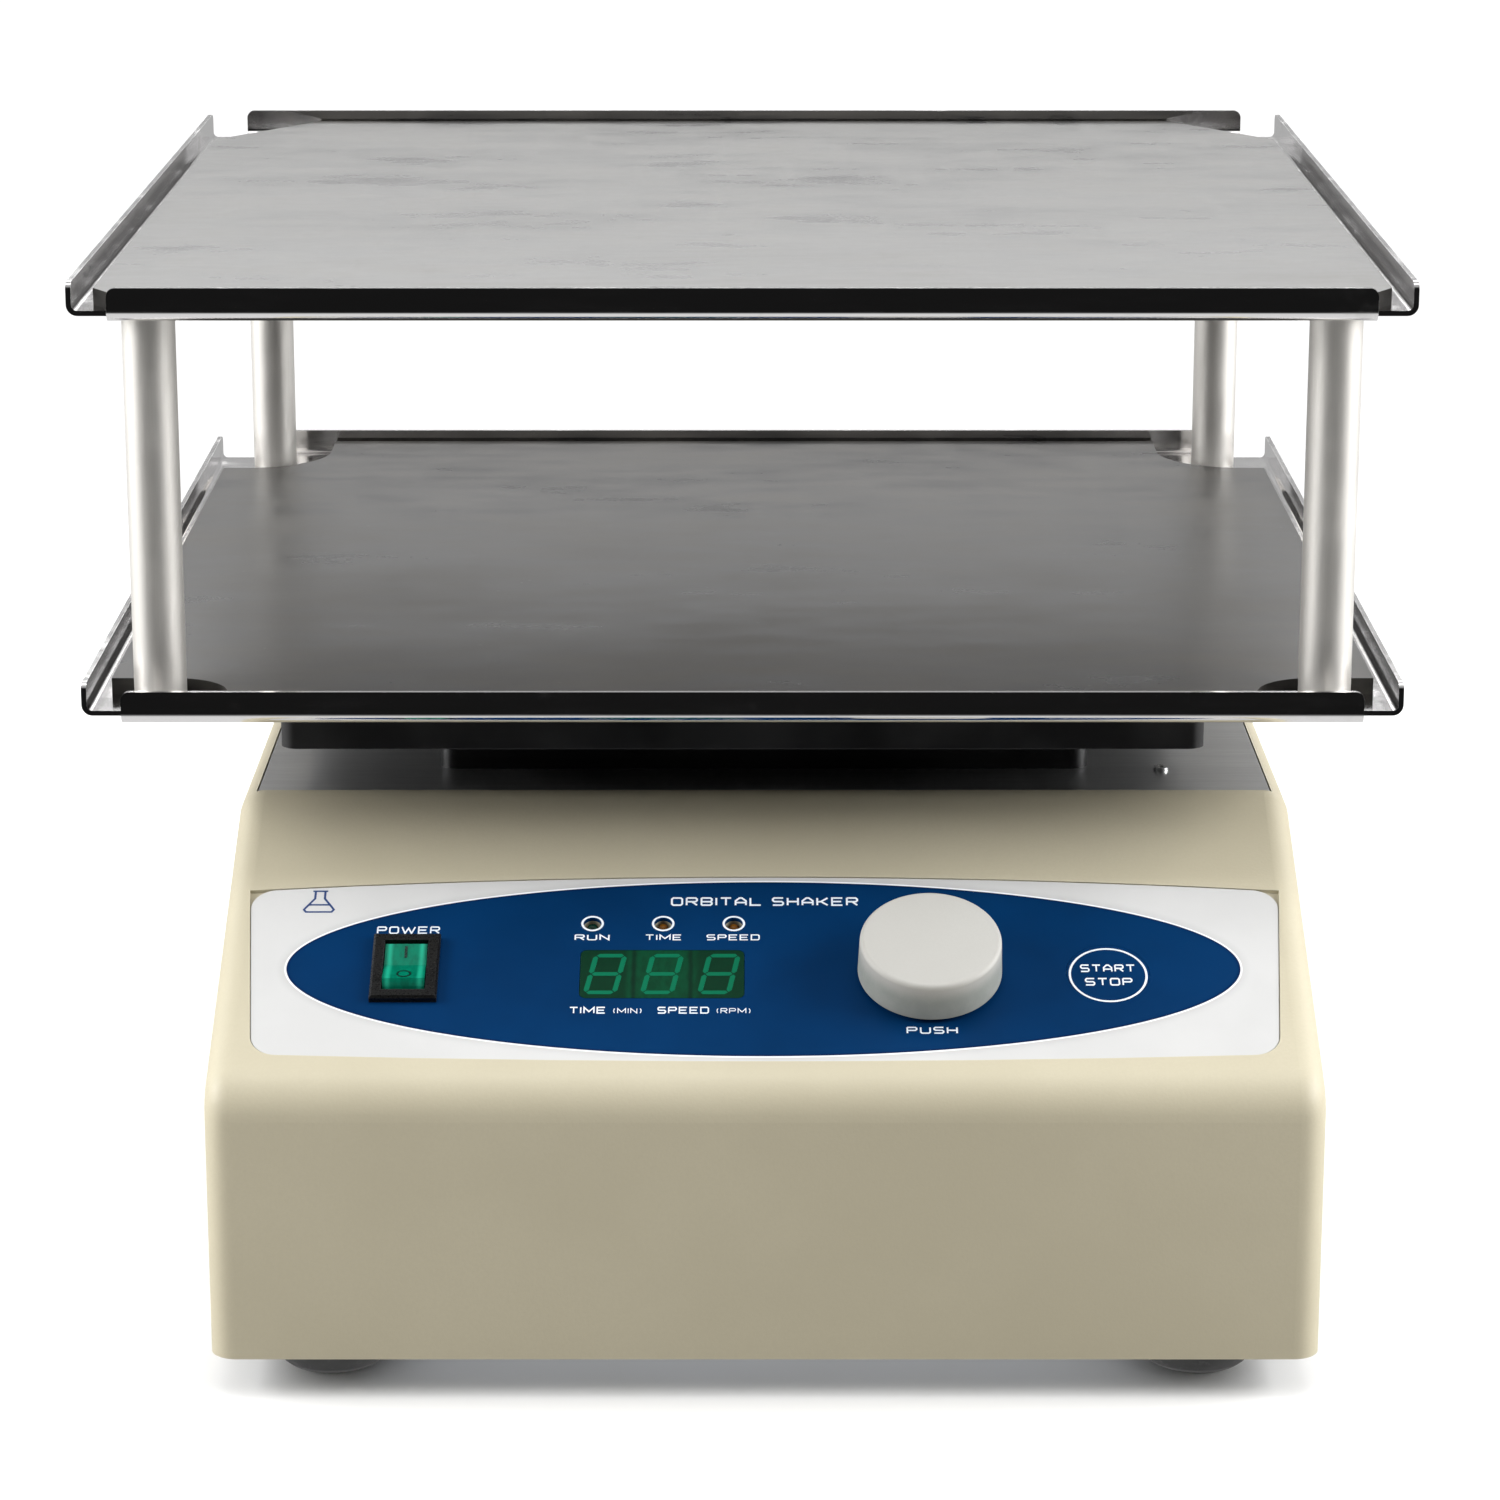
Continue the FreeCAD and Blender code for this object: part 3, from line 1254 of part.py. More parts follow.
def make_trays():
    mat_half = d.tray_size / 2 - d.mat_side_gap
    front = -d.tray_size / 2 + d.mat_front_gap
    rear = d.tray_size / 2 - d.mat_rear_gap

    lower_blank = tray_blank("lower_tray_blank")
    place(lower_blank, pin_x, pin_y, lower_floor)
    cut("lower_tray", lower_blank,
        group("lower_tray_cutters", deck_screws("carriage", 0.1) + deck_screws("post", 0.1)))
    upper_blank = tray_blank("upper_tray_blank")
    place(upper_blank, pin_x, pin_y, upper_floor)
    cut("upper_tray", upper_blank, group("upper_tray_cutters", deck_screws("post", 0.1)))

    notch_side = mat_half - d.mat_notch_width
    front_notch = front + d.mat_notch_front
    rear_notch = rear - d.mat_notch_rear
    lower_mat = mat_body("lower_mat", [
        (-notch_side, front), (notch_side, front), (notch_side, front_notch), (mat_half, front_notch),
        (mat_half, rear_notch), (notch_side, rear_notch), (notch_side, rear), (-notch_side, rear),
        (-notch_side, rear_notch), (-mat_half, rear_notch), (-mat_half, front_notch),
        (-notch_side, front_notch),
    ])
    middle = d.mat_thickness / 2
    front_curves = [(sx * notch_side, front_notch, middle) for sx in (-1, 1)]
    rear_curves = [(sx * notch_side, rear_notch, middle) for sx in (-1, 1)]
    round_edges(lower_mat, edges_through(lower_mat.Tip.Shape, front_curves), d.mat_front_curve)
    round_edges(lower_mat, edges_through(lower_mat.Tip.Shape, rear_curves), d.mat_rear_curve)
    place(lower_mat, pin_x, pin_y, lower_floor + d.tray_gauge)

    front_side = mat_half - d.mat_chamfer_width
    front_turn = front + d.mat_chamfer_depth
    rear_side = mat_half - d.mat_rear_chamfer_width
    rear_turn = rear - d.mat_rear_chamfer_depth
    upper_mat = mat_body("upper_mat", [
        (-front_side, front), (front_side, front), (mat_half, front_turn), (mat_half, rear_turn),
        (rear_side, rear), (-rear_side, rear), (-mat_half, rear_turn), (-mat_half, front_turn),
    ])
    place(upper_mat, pin_x, pin_y, upper_floor + d.tray_gauge)

    carriage_blank = new_body("carriage_plate_blank")
    drawing = sketch_on(carriage_blank, "XY_Plane")
    draw_rectangle(drawing, d.carriage_width, d.carriage_depth, as_size(0), as_size(0))
    bearing_spots = [(as_size(0), as_size(0))] + idler_spots()
    for x, y in bearing_spots:
        draw_circle(drawing, d.pin_bearing_od - 4, x, y)
    pad(carriage_blank, drawing, d.carriage_thickness)
    seats = sketch_on(carriage_blank, "XY_Plane", d.carriage_thickness - d.pin_bearing_width)
    for x, y in bearing_spots:
        draw_circle(seats, d.pin_bearing_od, x, y)
    pocket(carriage_blank, seats, d.carriage_thickness, upward=True)
    round_edges(carriage_blank, edges_where(carriage_blank.Tip.Shape, is_upright), 4.0)
    place(carriage_blank, pin_x, pin_y, carriage_bottom)
    cut("carriage_plate", carriage_blank, group("carriage_cutters", deck_screws("carriage", 0.1)))
    group("carriage_screws", deck_screws("carriage"))

    posts = []
    for index, (x, y) in enumerate(post_spots()):
        foot = lower_floor + d.tray_gauge
        posts.append(rod(f"post_blank_{index}", d.post_diameter, upper_floor - foot, x, y, foot))
    post_cutters = group("post_cutters", deck_screws("post", 0.1))
    cut("support_posts", group("post_blanks", posts), post_cutters)
    group("post_screws", deck_screws("post"))


# ---------------------------------------------------------------------------------------------
# Console
# ---------------------------------------------------------------------------------------------


def make_label():
    label = new_body("panel_overlay")
    drawing = sketch_on(label, "XY_Plane", -recess_depth)
    label_outline(drawing, as_size(0))
    pad(label, drawing, d.label_thickness)
    round_edges(label, edges_where(label.Tip.Shape, is_upright), d.label_corner)
    openings = sketch_on(label, "XY_Plane", label_top_face)
    console_openings(openings, d.slip_gap / 2)
    draw_circle(openings, 2 * encoder_nut_reach + 2.4, d.knob_across, d.controls_up)
    pocket(label, openings, d.label_thickness + 1)
    half_wide = (d.display_width + d.slip_gap) / 2
    half_tall = (d.display_height + d.slip_gap) / 2
    middle = (label_top_face - recess_depth) / 2
    corners = [(d.display_across + x, d.display_up + y, middle) for x, y in grid(half_wide, half_tall)]
    round_edges(label, edges_through(label.Tip.Shape, corners), d.display_corner + d.slip_gap / 2)
    place_on_console(label)


def make_switch():
    body = new_body("switch_body")
    wide, tall = d.switch_width, d.switch_height
    flange = sketch_on(body, "XY_Plane", label_top_face)
    draw_rectangle(flange, wide, tall, as_size(0), as_size(0))
    pad(body, flange, 1.8)
    bevel_edges(body, edges_where(body.Tip.Shape, lambda edge: edge.CenterOfMass.z > 1.59), 0.5)
    barrel = sketch_on(body, "XY_Plane", label_top_face)
    draw_rectangle(barrel, wide - 2, tall - 2, as_size(0), as_size(0))
    pad(body, barrel, 18.0, downward=True)
    well = sketch_on(body, "XY_Plane", 2.0)
    draw_rectangle(well, d.rocker_width + 2 * d.slip_gap, 2 * d.rocker_radius + 2 * d.part_gap,
                   as_size(0), as_size(0))
    pocket(body, well, 13.0)
    pivots = sketch_on(body, "YZ_Plane")
    draw_circle(pivots, 2 + 2 * d.running_gap, as_size(0), -as_size(2))
    pocket(body, pivots, d.rocker_width + 2.4, both_ways=True)
    blades = sketch_on(body, "XY_Plane", -as_size(17.5))
    for row in (-6, 0, 6):
        draw_rectangle(blades, 4.8, 0.8, as_size(0), as_size(row))
    pad(body, blades, 8.0, downward=True)
    place_on_console(body, d.switch_across, 0.0, 0.0)

    rocker = new_body("power_rocker")
    side = sketch_on(rocker, "YZ_Plane")
    draw_circle(side, 2 * d.rocker_radius)
    pad(rocker, side, d.rocker_width, both_ways=True)
    trim = sketch_on(rocker, "YZ_Plane")
    reach = d.rocker_radius + 1
    draw_outline(trim, [(-reach, 4.5), (0.0, 2.9), (reach, 4.5), (reach, reach), (-reach, reach)])
    pocket(rocker, trim, d.rocker_width + 1, both_ways=True)
    undercut = sketch_on(rocker, "YZ_Plane")
    draw_outline(undercut, [(-reach, -reach), (reach, -reach), (reach, -4.0), (-reach, -4.0)])
    pocket(rocker, undercut, d.rocker_width + 1, both_ways=True)
    pin = sketch_on(rocker, "YZ_Plane")
    draw_circle(pin, 2.0)
    pad(rocker, pin, d.rocker_width + 2, both_ways=True)
    place_on_console(rocker, d.switch_across, 0.0, -2.0, extra_tilt=-d.rocker_tilt)


def make_indicators():
    console_box("display_module", d.display_width, d.display_height, d.board_depth - recess_depth,
                d.display_across, d.display_up, board_face)
    window = new_body("display_window")
    drawing = sketch_on(window, "XY_Plane")
    draw_rectangle(drawing, d.display_width, d.display_height, as_size(0), as_size(0))
    pad(window, drawing, d.label_thickness)
    round_edges(window, edges_where(window.Tip.Shape, is_upright), d.display_corner)
    place_on_console(window, d.display_across, d.display_up, -recess_depth)

    lamps = []
    for step in (-1, 0, 1):
        across = d.display_across + step * d.lamp_pitch
        radius = d.lamp_diameter / 2
        name = f"lamp_{step + 1}"
        flange = rod(f"{name}_flange", d.lamp_diameter + 0.8, 1.0, across, d.lamp_up, board_face,
                     place_on_console)
        stem = rod(f"{name}_stem", d.lamp_diameter, d.board_depth - radius - 0.6, across, d.lamp_up,
                   board_face, place_on_console)
        dome = document.addObject("Part::Sphere", f"{name}_dome")
        bind(dome, Radius=radius)
        place_on_console(dome, across, d.lamp_up, -radius - 0.6)
        lamps.append(fuse(f"{name}_lens", [flange, stem, dome]))
    group("run_lamp", lamps[:1])
    group("setting_lamps", lamps[1:])


def make_knob():
    across, up = d.knob_across, d.controls_up
    shaft = d.encoder_shaft_diameter / 2
    sleeve = shaft + d.running_gap
    spigot = shaft / 2
    spigot_hole = spigot + d.running_gap
    case = encoder_bushing + d.encoder_shoulder
    cavity = case - d.encoder_case_wall
    rotor_reach = cavity - 0.4
    shelf = -6.0
    pit = -11.7
    body = turned("encoder_body", [
        (spigot_hole, shelf - 0.6),
        (spigot_hole, shelf),
        (sleeve, shelf),
        (sleeve, 2.6),
        (encoder_bushing, 2.6),
        (encoder_bushing, shelf + 1),
        (case, shelf + 1),
        (case, board_face),
        (0.0, board_face),
        (0.0, pit),
        (spigot + 0.3, pit),
        (spigot + 0.3, pit + 1.5),
        (cavity, pit + 1.5),
        (cavity, shelf - 0.6),
    ])
    place_on_console(body, across, up)
    rotor = turned("encoder_rotor", [
        (spigot_hole, shelf - 3.9),
        (rotor_reach, shelf - 3.9),
        (rotor_reach, shelf - 0.9),
        (spigot_hole, shelf - 0.9),
    ])
    place_on_console(rotor, across, up)
    stem = turned("encoder_shaft", [
        (0.0, pit + d.knob_travel + 0.3),
        (spigot, pit + d.knob_travel + 0.3),
        (spigot, shelf + d.knob_travel + 0.1),
        (shaft, shelf + d.knob_travel + 0.1),
        (shaft, d.knob_top - 1.6),
        (0.0, d.knob_top - 1.6),
    ])
    place_on_console(stem, across, up)

    nut_blank = document.addObject("Part::Prism", "encoder_nut_blank")
    nut_blank.Polygon = 6
    bind(nut_blank, Circumradius=encoder_nut_reach, Height=d.encoder_nut_height)
    place_on_console(nut_blank, across, up, -recess_depth)
    nut_bore = rod("encoder_nut_bore", 2 * encoder_bushing, d.encoder_nut_height, across, up,
                   -recess_depth, place_on_console)
    cut("encoder_nut", nut_blank, nut_bore)

    face = d.knob_face_diameter / 2
    base = d.knob_diameter / 2
    wall = 2.4
    hub = shaft + 3
    knob = turned("control_knob", [
        (0.0, d.knob_top - 1.6),
        (shaft, d.knob_top - 1.6),
        (shaft, 3.9),
        (hub, 3.9),
        (hub, d.knob_top - 2.4),
        (base - wall, d.knob_top - 2.4),
        (base - wall, d.knob_foot),
        (base, d.knob_foot),
        (face, d.knob_top),
        (0.0, d.knob_top),
    ])
    crown = edges_where(knob.Tip.Shape, lambda edge: edge.CenterOfMass.z > d.knob_top.value - 0.1)
    round_edges(knob, crown, 1.1)
    place_on_console(knob, across, up)


def make_key():
    radius = d.key_diameter / 2
    stem_foot = board_face + 4.2 + d.key_travel + 0.2
    key = turned("start_stop_key", [
        (0.0, stem_foot),
        (2.0, stem_foot),
        (2.0, -recess_depth),
        (radius, -recess_depth),
        (radius, label_top_face),
        (0.0, label_top_face),
    ])
    place_on_console(key, d.key_across, d.controls_up)
    case = console_box("key_switch_case", 6.0, 6.0, 3.6, d.key_across, d.controls_up, board_face)
    plunger = rod("key_switch_plunger", 3.4, 4.2, d.key_across, d.controls_up, board_face,
                  place_on_console)
    fuse("key_switch", [case, plunger])


def make_board():
    board = new_body("control_board")
    drawing = sketch_on(board, "XY_Plane")
    edge = d.board_height / 2
    draw_outline(drawing, [(-d.board_left, -edge), (d.board_right, -edge), (d.board_right, edge),
                           (-d.board_left, edge)])
    for x, up in board_spots():
        draw_circle(drawing, 3.0, x, up)
    pad(board, drawing, d.board_gauge)
    chips = sketch_on(board, "XY_Plane")
    draw_rectangle(chips, 14.0, 14.0, as_size(10), as_size(-10))
    draw_rectangle(chips, 10.0, 6.0, as_size(-30), as_size(-12))
    draw_rectangle(chips, 20.0, 8.0, as_size(60), as_size(14))
    pad(board, chips, 2.4, downward=True)
    place_on_console(board, 0.0, 0.0, board_face - d.board_gauge)
    screws = []
    for index, (x, up) in enumerate(board_spots()):
        head = rod(f"board_screw_head_{index}", 5.0, 1.8, x, up, board_face - d.board_gauge - 1.8,
                   place_on_console)
        shank = rod(f"board_screw_shank_{index}", 2.5, 7.0, x, up, board_face - d.board_gauge,
                    place_on_console)
        screws.append(fuse(f"board_screw_{index}", [head, shank]))
    group("board_screws", screws)


# ---------------------------------------------------------------------------------------------
# Power inlet and supply
# ---------------------------------------------------------------------------------------------


def make_power():
    wide, tall = d.inlet_width, d.inlet_height
    x, z = d.inlet_across, d.inlet_level
    outside = d.housing_rear
    inlet = new_body("power_inlet")
    flange = sketch_on(inlet, "XZ_Plane")
    draw_rectangle(flange, wide + 4, tall + 4, as_size(0), as_size(0))
    pad(inlet, flange, 3.0, downward=True)
    barrel = sketch_on(inlet, "XZ_Plane")
    draw_rectangle(barrel, wide, tall, as_size(0), as_size(0))
    pad(inlet, barrel, 24.0)
    mouth = sketch_on(inlet, "XZ_Plane", -as_size(4))
    draw_rectangle(mouth, d.socket_width, d.socket_height, as_size(0), socket_drop())
    pocket(inlet, mouth, 22.0, upward=True)
    drawer_slot = sketch_on(inlet, "XZ_Plane", -as_size(4))
    draw_rectangle(drawer_slot, d.drawer_width + 2 * d.slip_gap, d.drawer_height + 2 * d.slip_gap,
                   as_size(0), drawer_rise())
    pocket(inlet, drawer_slot, 23.0, upward=True)
    place(inlet, x, outside, z)

    pins = []
    for index, (dx, dz) in enumerate(((-7.0, -1.6), (0.0, 1.6), (7.0, -1.6))):
        foot = z + socket_drop() + dz - 2
        pins.append(box(f"inlet_pin_{index}", 2.0, 17.0, 4.0, x + dx, outside - 9.5, foot))
    group("inlet_pins", pins)

    drawer = new_body("fuse_drawer")
    front = sketch_on(drawer, "XZ_Plane", -as_size(3.6))
    draw_rectangle(front, d.drawer_width, d.drawer_height, as_size(0), as_size(0))
    pad(drawer, front, 22.0)
    carrier = sketch_on(drawer, "XY_Plane", -d.drawer_height / 2 + 1)
    draw_rectangle(carrier, d.drawer_width - 3, 14.0, as_size(0), -as_size(9))
    pocket(drawer, carrier, d.drawer_height, upward=True)
    place(drawer, x, outside, z + drawer_rise())

    centre = (d.housing_rear - 35 - d.supply_length / 2)
    board = new_body("supply_board")
    drawing = sketch_on(board, "XY_Plane")
    draw_rectangle(drawing, d.supply_width, d.supply_length, as_size(0), as_size(0))
    spots = grid(d.supply_width / 2 - 4, d.supply_length / 2 - 4)
    pad(board, drawing, d.board_gauge)
    legs = sketch_on(board, "XY_Plane")
    for leg_x, leg_y in spots:
        draw_circle(legs, 6.0, leg_x, leg_y)
    pad(board, legs, d.supply_level - chassis_top, downward=True)
    place(board, d.supply_across, centre, d.supply_level)
    top = d.supply_level + d.board_gauge
    core = box("supply_core", 30.0, 34.0, 26.0, d.supply_across, centre + 30, top)
    bobbin = box("supply_bobbin", 24.0, 44.0, 18.0, d.supply_across, centre + 30, top + 4)
    coil = fuse("supply_coil", [core, bobbin])
    storage = rod("supply_capacitor", 18.0, 26.0, d.supply_across, centre - 16, top)
    sink = box("supply_heat_sink", 34.0, 6.0, 24.0, d.supply_across, centre - 40, top)
    group("supply_components", [coil, storage, sink])


def socket_drop():
    """Height of the mains socket's middle against the inlet's middle."""
    return -as_size(5.6)


def drawer_rise():
    """Height of the fuse drawer's middle against the inlet's middle."""
    return as_size(9.6)


# ---------------------------------------------------------------------------------------------
# Build, check and write
# ---------------------------------------------------------------------------------------------

for build in (make_housing, make_chassis, make_feet, make_top, make_cranks, make_drive, make_motor,
              make_trays, make_label, make_switch, make_indicators, make_knob, make_key, make_board,
              make_power):
    build()
document.recompute()

SUB_PARTS = [
    "housing_shell", "chassis_plate", "chassis_screws", "rubber_feet", "foot_screws",
    "top_plate", "earth_screw", "crank_block", "block_screws", "spindle_housing",
    "fixed_outer_rings", "crank_spindle", "drive_inner_rings", "drive_bearing_balls",
    "drive_pulley", "counterweight", "drive_belt", "motor_pulley", "motor_rotor", "motor_can",
    "motor_stator", "motor_plate", "motor_standoffs", "left_idler_crank", "left_idler_inner_rings",
    "left_idler_balls", "right_idler_crank", "right_idler_inner_rings", "right_idler_balls",
    "carriage_plate", "carriage_outer_rings", "carriage_screws", "lower_tray", "lower_mat",
    "support_posts", "post_screws", "upper_tray", "upper_mat", "panel_overlay", "switch_body",
    "power_rocker", "display_module", "display_window", "run_lamp", "setting_lamps",
    "encoder_body", "encoder_rotor", "encoder_shaft", "encoder_nut", "control_knob",
    "start_stop_key", "key_switch", "control_board", "board_screws", "power_inlet", "inlet_pins",
    "fuse_drawer", "supply_board", "supply_components",
]

for thing in document.Objects:
    if "Invalid" in thing.State or "Error" in thing.State:
        raise ValueError(f"{thing.Label} did not build: {thing.State}")

finished = {}
for label in SUB_PARTS:
    shape = document.getObjectsByLabel(label)[0].Shape
    if shape.isNull() or not shape.isValid():
        raise ValueError(f"{label} has no valid shape")
    finished[label] = shape

for label, shape in finished.items():
    shape.exportStep(os.path.join("parts", f"{label}.step"))
    extent = shape.BoundBox
    print(f"{label:26s} solids {len(shape.Solids):3d}  volume {shape.Volume:12.1f}  "
          f"x {extent.XMin:7.1f} {extent.XMax:7.1f}  y {extent.YMin:7.1f} {extent.YMax:7.1f}  "
          f"z {extent.ZMin:6.1f} {extent.ZMax:6.1f}")
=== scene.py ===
"""Finishes, printing, lamps and studio for a benchtop orbital shaker with two trays.

Every length is in metres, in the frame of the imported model. Z is up and the console faces -Y.
"""

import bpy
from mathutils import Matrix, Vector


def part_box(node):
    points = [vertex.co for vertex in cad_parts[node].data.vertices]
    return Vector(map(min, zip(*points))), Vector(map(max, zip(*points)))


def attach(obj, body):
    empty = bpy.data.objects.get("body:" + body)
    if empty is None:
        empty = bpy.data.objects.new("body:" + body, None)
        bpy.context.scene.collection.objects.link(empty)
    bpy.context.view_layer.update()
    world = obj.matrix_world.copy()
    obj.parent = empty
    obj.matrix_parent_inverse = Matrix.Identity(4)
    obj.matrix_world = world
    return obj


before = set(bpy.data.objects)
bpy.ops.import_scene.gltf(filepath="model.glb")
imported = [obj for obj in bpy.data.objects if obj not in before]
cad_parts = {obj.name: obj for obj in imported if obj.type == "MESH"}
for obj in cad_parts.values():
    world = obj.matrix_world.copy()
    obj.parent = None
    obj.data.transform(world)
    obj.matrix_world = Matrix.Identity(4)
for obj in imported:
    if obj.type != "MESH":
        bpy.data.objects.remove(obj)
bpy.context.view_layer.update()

import logging
import math
from dataclasses import dataclass, field
from enum import Enum
from typing import Any, Iterable, Sequence

import bmesh
import bpy
from mathutils import Vector

LOG = logging.getLogger("shaker")
MM = 0.001

Colour = tuple[float, float, float]
Point = tuple[float, float]


# ---------------------------------------------------------------- shader maths


class Value:
    """One number, vector or colour on its way between two nodes."""

    def __init__(self, graph: "Graph", socket: bpy.types.NodeSocket) -> None:
        """Wraps an output socket.

        Args:
            graph: The node graph that owns the socket.
            socket: The output socket to wrap.
        """
        self.graph = graph
        self.socket = socket

    def __add__(self, other: "Value | float") -> "Value":
        """The sum of two values."""
        return self.graph.math("ADD", self, other)

    def __sub__(self, other: "Value | float") -> "Value":
        """This value less another."""
        return self.graph.math("SUBTRACT", self, other)

    def __rsub__(self, other: float) -> "Value":
        """A number less this value."""
        return self.graph.math("SUBTRACT", other, self)

    def __mul__(self, other: "Value | float") -> "Value":
        """The product of two values."""
        return self.graph.math("MULTIPLY", self, other)

    def __truediv__(self, other: "Value | float") -> "Value":
        """This value divided by another."""
        return self.graph.math("DIVIDE", self, other)

    __radd__ = __add__
    __rmul__ = __mul__

    def __abs__(self) -> "Value":
        """The size of the value without its sign."""
        return self.graph.math("ABSOLUTE", self)

    def power(self, exponent: float) -> "Value":
        """The value raised to a power."""
        return self.graph.math("POWER", self, exponent)

    def larger(self, other: "Value | float") -> "Value":
        """The larger of two values."""
        return self.graph.math("MAXIMUM", self, other)

    def rise(self, low: float, high: float) -> "Value":
        """A smooth step.

        Args:
            low: Where the step leaves 0.
            high: Where the step reaches 1; it may be lower than `low`.

        Returns:
            0 before `low`, 1 past `high`, and a smooth curve between them.
        """
        flipped = high < low
        ends = (high, low) if flipped else (low, high)
        step = self.graph.add(
            "ShaderNodeMapRange",
            {"interpolation_type": "SMOOTHSTEP", "clamp": True},
            {"Value": self, "From Min": ends[0], "From Max": ends[1], "To Min": float(flipped),
             "To Max": float(not flipped)},
        )
        return step


class Graph:
    """The node graph of one material or world."""

    def __init__(self, owner: Any) -> None:
        """Empties the owner's graph.

        Args:
            owner: A material or a world.
        """
        owner.use_nodes = True
        self.tree = owner.node_tree
        self.tree.nodes.clear()

    def add(self, kind: str, settings: dict[str, Any] | None = None, sockets: dict[Any, Any] | None = None,
            output: int | str = 0) -> Value:
        """Makes one node.

        Args:
            kind: The node's type.
            settings: Its properties, set before its sockets.
            sockets: Values or links of its inputs, by name or number.
            output: The output that is returned.

        Returns:
            The chosen output.
        """
        node = self.tree.nodes.new(kind)
        for name, setting in (settings or {}).items():
            setattr(node, name, setting)
        for key, value in (sockets or {}).items():
            self._feed(node.inputs[key], value)
        return Value(self, node.outputs[output])

    def _feed(self, socket: bpy.types.NodeSocket, value: Any) -> None:
        """Links a value to an input, or sets the input.

        Args:
            socket: The input.
            value: A Value, a number, or a tuple of numbers.
        """
        if isinstance(value, Value):
            self.tree.links.new(value.socket, socket)
        elif socket.type == "RGBA" and len(value) == 3:
            socket.default_value = (*value, 1.0)
        else:
            socket.default_value = value

    def finish(self, kind: str, shader: Value) -> None:
        """Ends the graph.

        Args:
            kind: The type of the output node.
            shader: What the output shows.
        """
        end = self.tree.nodes.new(kind)
        self._feed(end.inputs["Surface"], shader)

    def math(self, operation: str, first: Any, second: Any = None) -> Value:
        """One step of arithmetic on numbers.

        Args:
            operation: The name of the operation.
            first: The first value.
            second: The second value, where the operation has one.

        Returns:
            The result.
        """
        sockets = {0: first} if second is None else {0: first, 1: second}
        return self.add("ShaderNodeMath", {"operation": operation}, sockets)

    def vector(self, operation: str, first: Any, second: Any = None, output: int | str = 0) -> Value:
        """One step of arithmetic on vectors.

        Args:
            operation: The name of the operation.
            first: The first vector.
            second: The second vector, where the operation has one.
            output: Which result to return.

        Returns:
            The result.
        """
        sockets = {0: first} if second is None else {0: first, 1: second}
        return self.add("ShaderNodeVectorMath", {"operation": operation}, sockets, output)

    def mix(self, amount: Any, first: Any, second: Any, blend: str = "MIX") -> Value:
        """Blends two colours.

        Args:
            amount: How much of the second colour shows.
            first: The colour at 0.
            second: The colour at 1.
            blend: How the colours meet.

        Returns:
            The blended colour.
        """
        settings = {"data_type": "RGBA", "blend_type": blend, "clamp_factor": True}
        return self.add("ShaderNodeMix", settings, {0: amount, 6: first, 7: second}, 2)

    def place(self) -> Value:
        """The point on the model, in metres."""
        return self.add("ShaderNodeTexCoord", output="Object")

    def along(self, direction: Sequence[float], origin: Sequence[float] = (0, 0, 0)) -> Value:
        """The distance of a point along a direction.

        Args:
            direction: A unit vector.
            origin: The point where the distance is 0.

        Returns:
            The distance in metres.
        """
        arm = self.vector("SUBTRACT", self.place(), tuple(origin))
        return self.vector("DOT_PRODUCT", arm, tuple(direction), "Value")

    def noise(self, size: float, stretch: Sequence[float] = (1, 1, 1), detail: float = 3.0,
              roughness: float = 0.55) -> Value:
        """Soft random patches.

        Args:
            size: The size of a patch in metres.
            stretch: How much longer a patch is along each axis.
            detail: How many finer layers are added.
            roughness: How strong the finer layers are.

        Returns:
            A value near 0.5.
        """
        scale = tuple(1.0 / (size * factor) for factor in stretch)
        spot = self.add("ShaderNodeMapping", {}, {"Vector": self.place(), "Scale": scale})
        return self.add("ShaderNodeTexNoise", {"noise_dimensions": "3D"},
                        {"Vector": spot, "Scale": 1.0, "Detail": detail, "Roughness": roughness}, "Fac")

    def cells(self, size: float, output: str = "Distance") -> Value:
        """Random round cells.

        Args:
            size: The size of a cell in metres.
            output: "Distance" to the nearest cell's middle, or its "Color".

        Returns:
            The chosen output.
        """
        return self.add("ShaderNodeTexVoronoi", {}, {"Vector": self.place(), "Scale": 1.0 / size}, output)

    def bump(self, height: Any, depth: float, strength: float = 1.0) -> Value:
        """A bumped normal.

        Args:
            height: The relief from 0 to 1.
            depth: The height of the relief in metres.
            strength: How much of it shows.

        Returns:
            The normal.
        """
        return self.add("ShaderNodeBump", {}, {"Height": height, "Distance": depth, "Strength": strength})

    def edges(self, radius: float) -> Value:
        """Finds the sharp edges of a piece.

        Args:
            radius: How far an edge reaches, in metres.

        Returns:
            1 on an edge and 0 on open surface.
        """
        rounded = self.add("ShaderNodeBevel", {"samples": 4}, {"Radius": radius}, "Normal")
        plain = self.add("ShaderNodeNewGeometry", output="Normal")
        return self.vector("DOT_PRODUCT", rounded, plain, "Value").rise(0.97, 0.8)


# ---------------------------------------------------------------- finishes


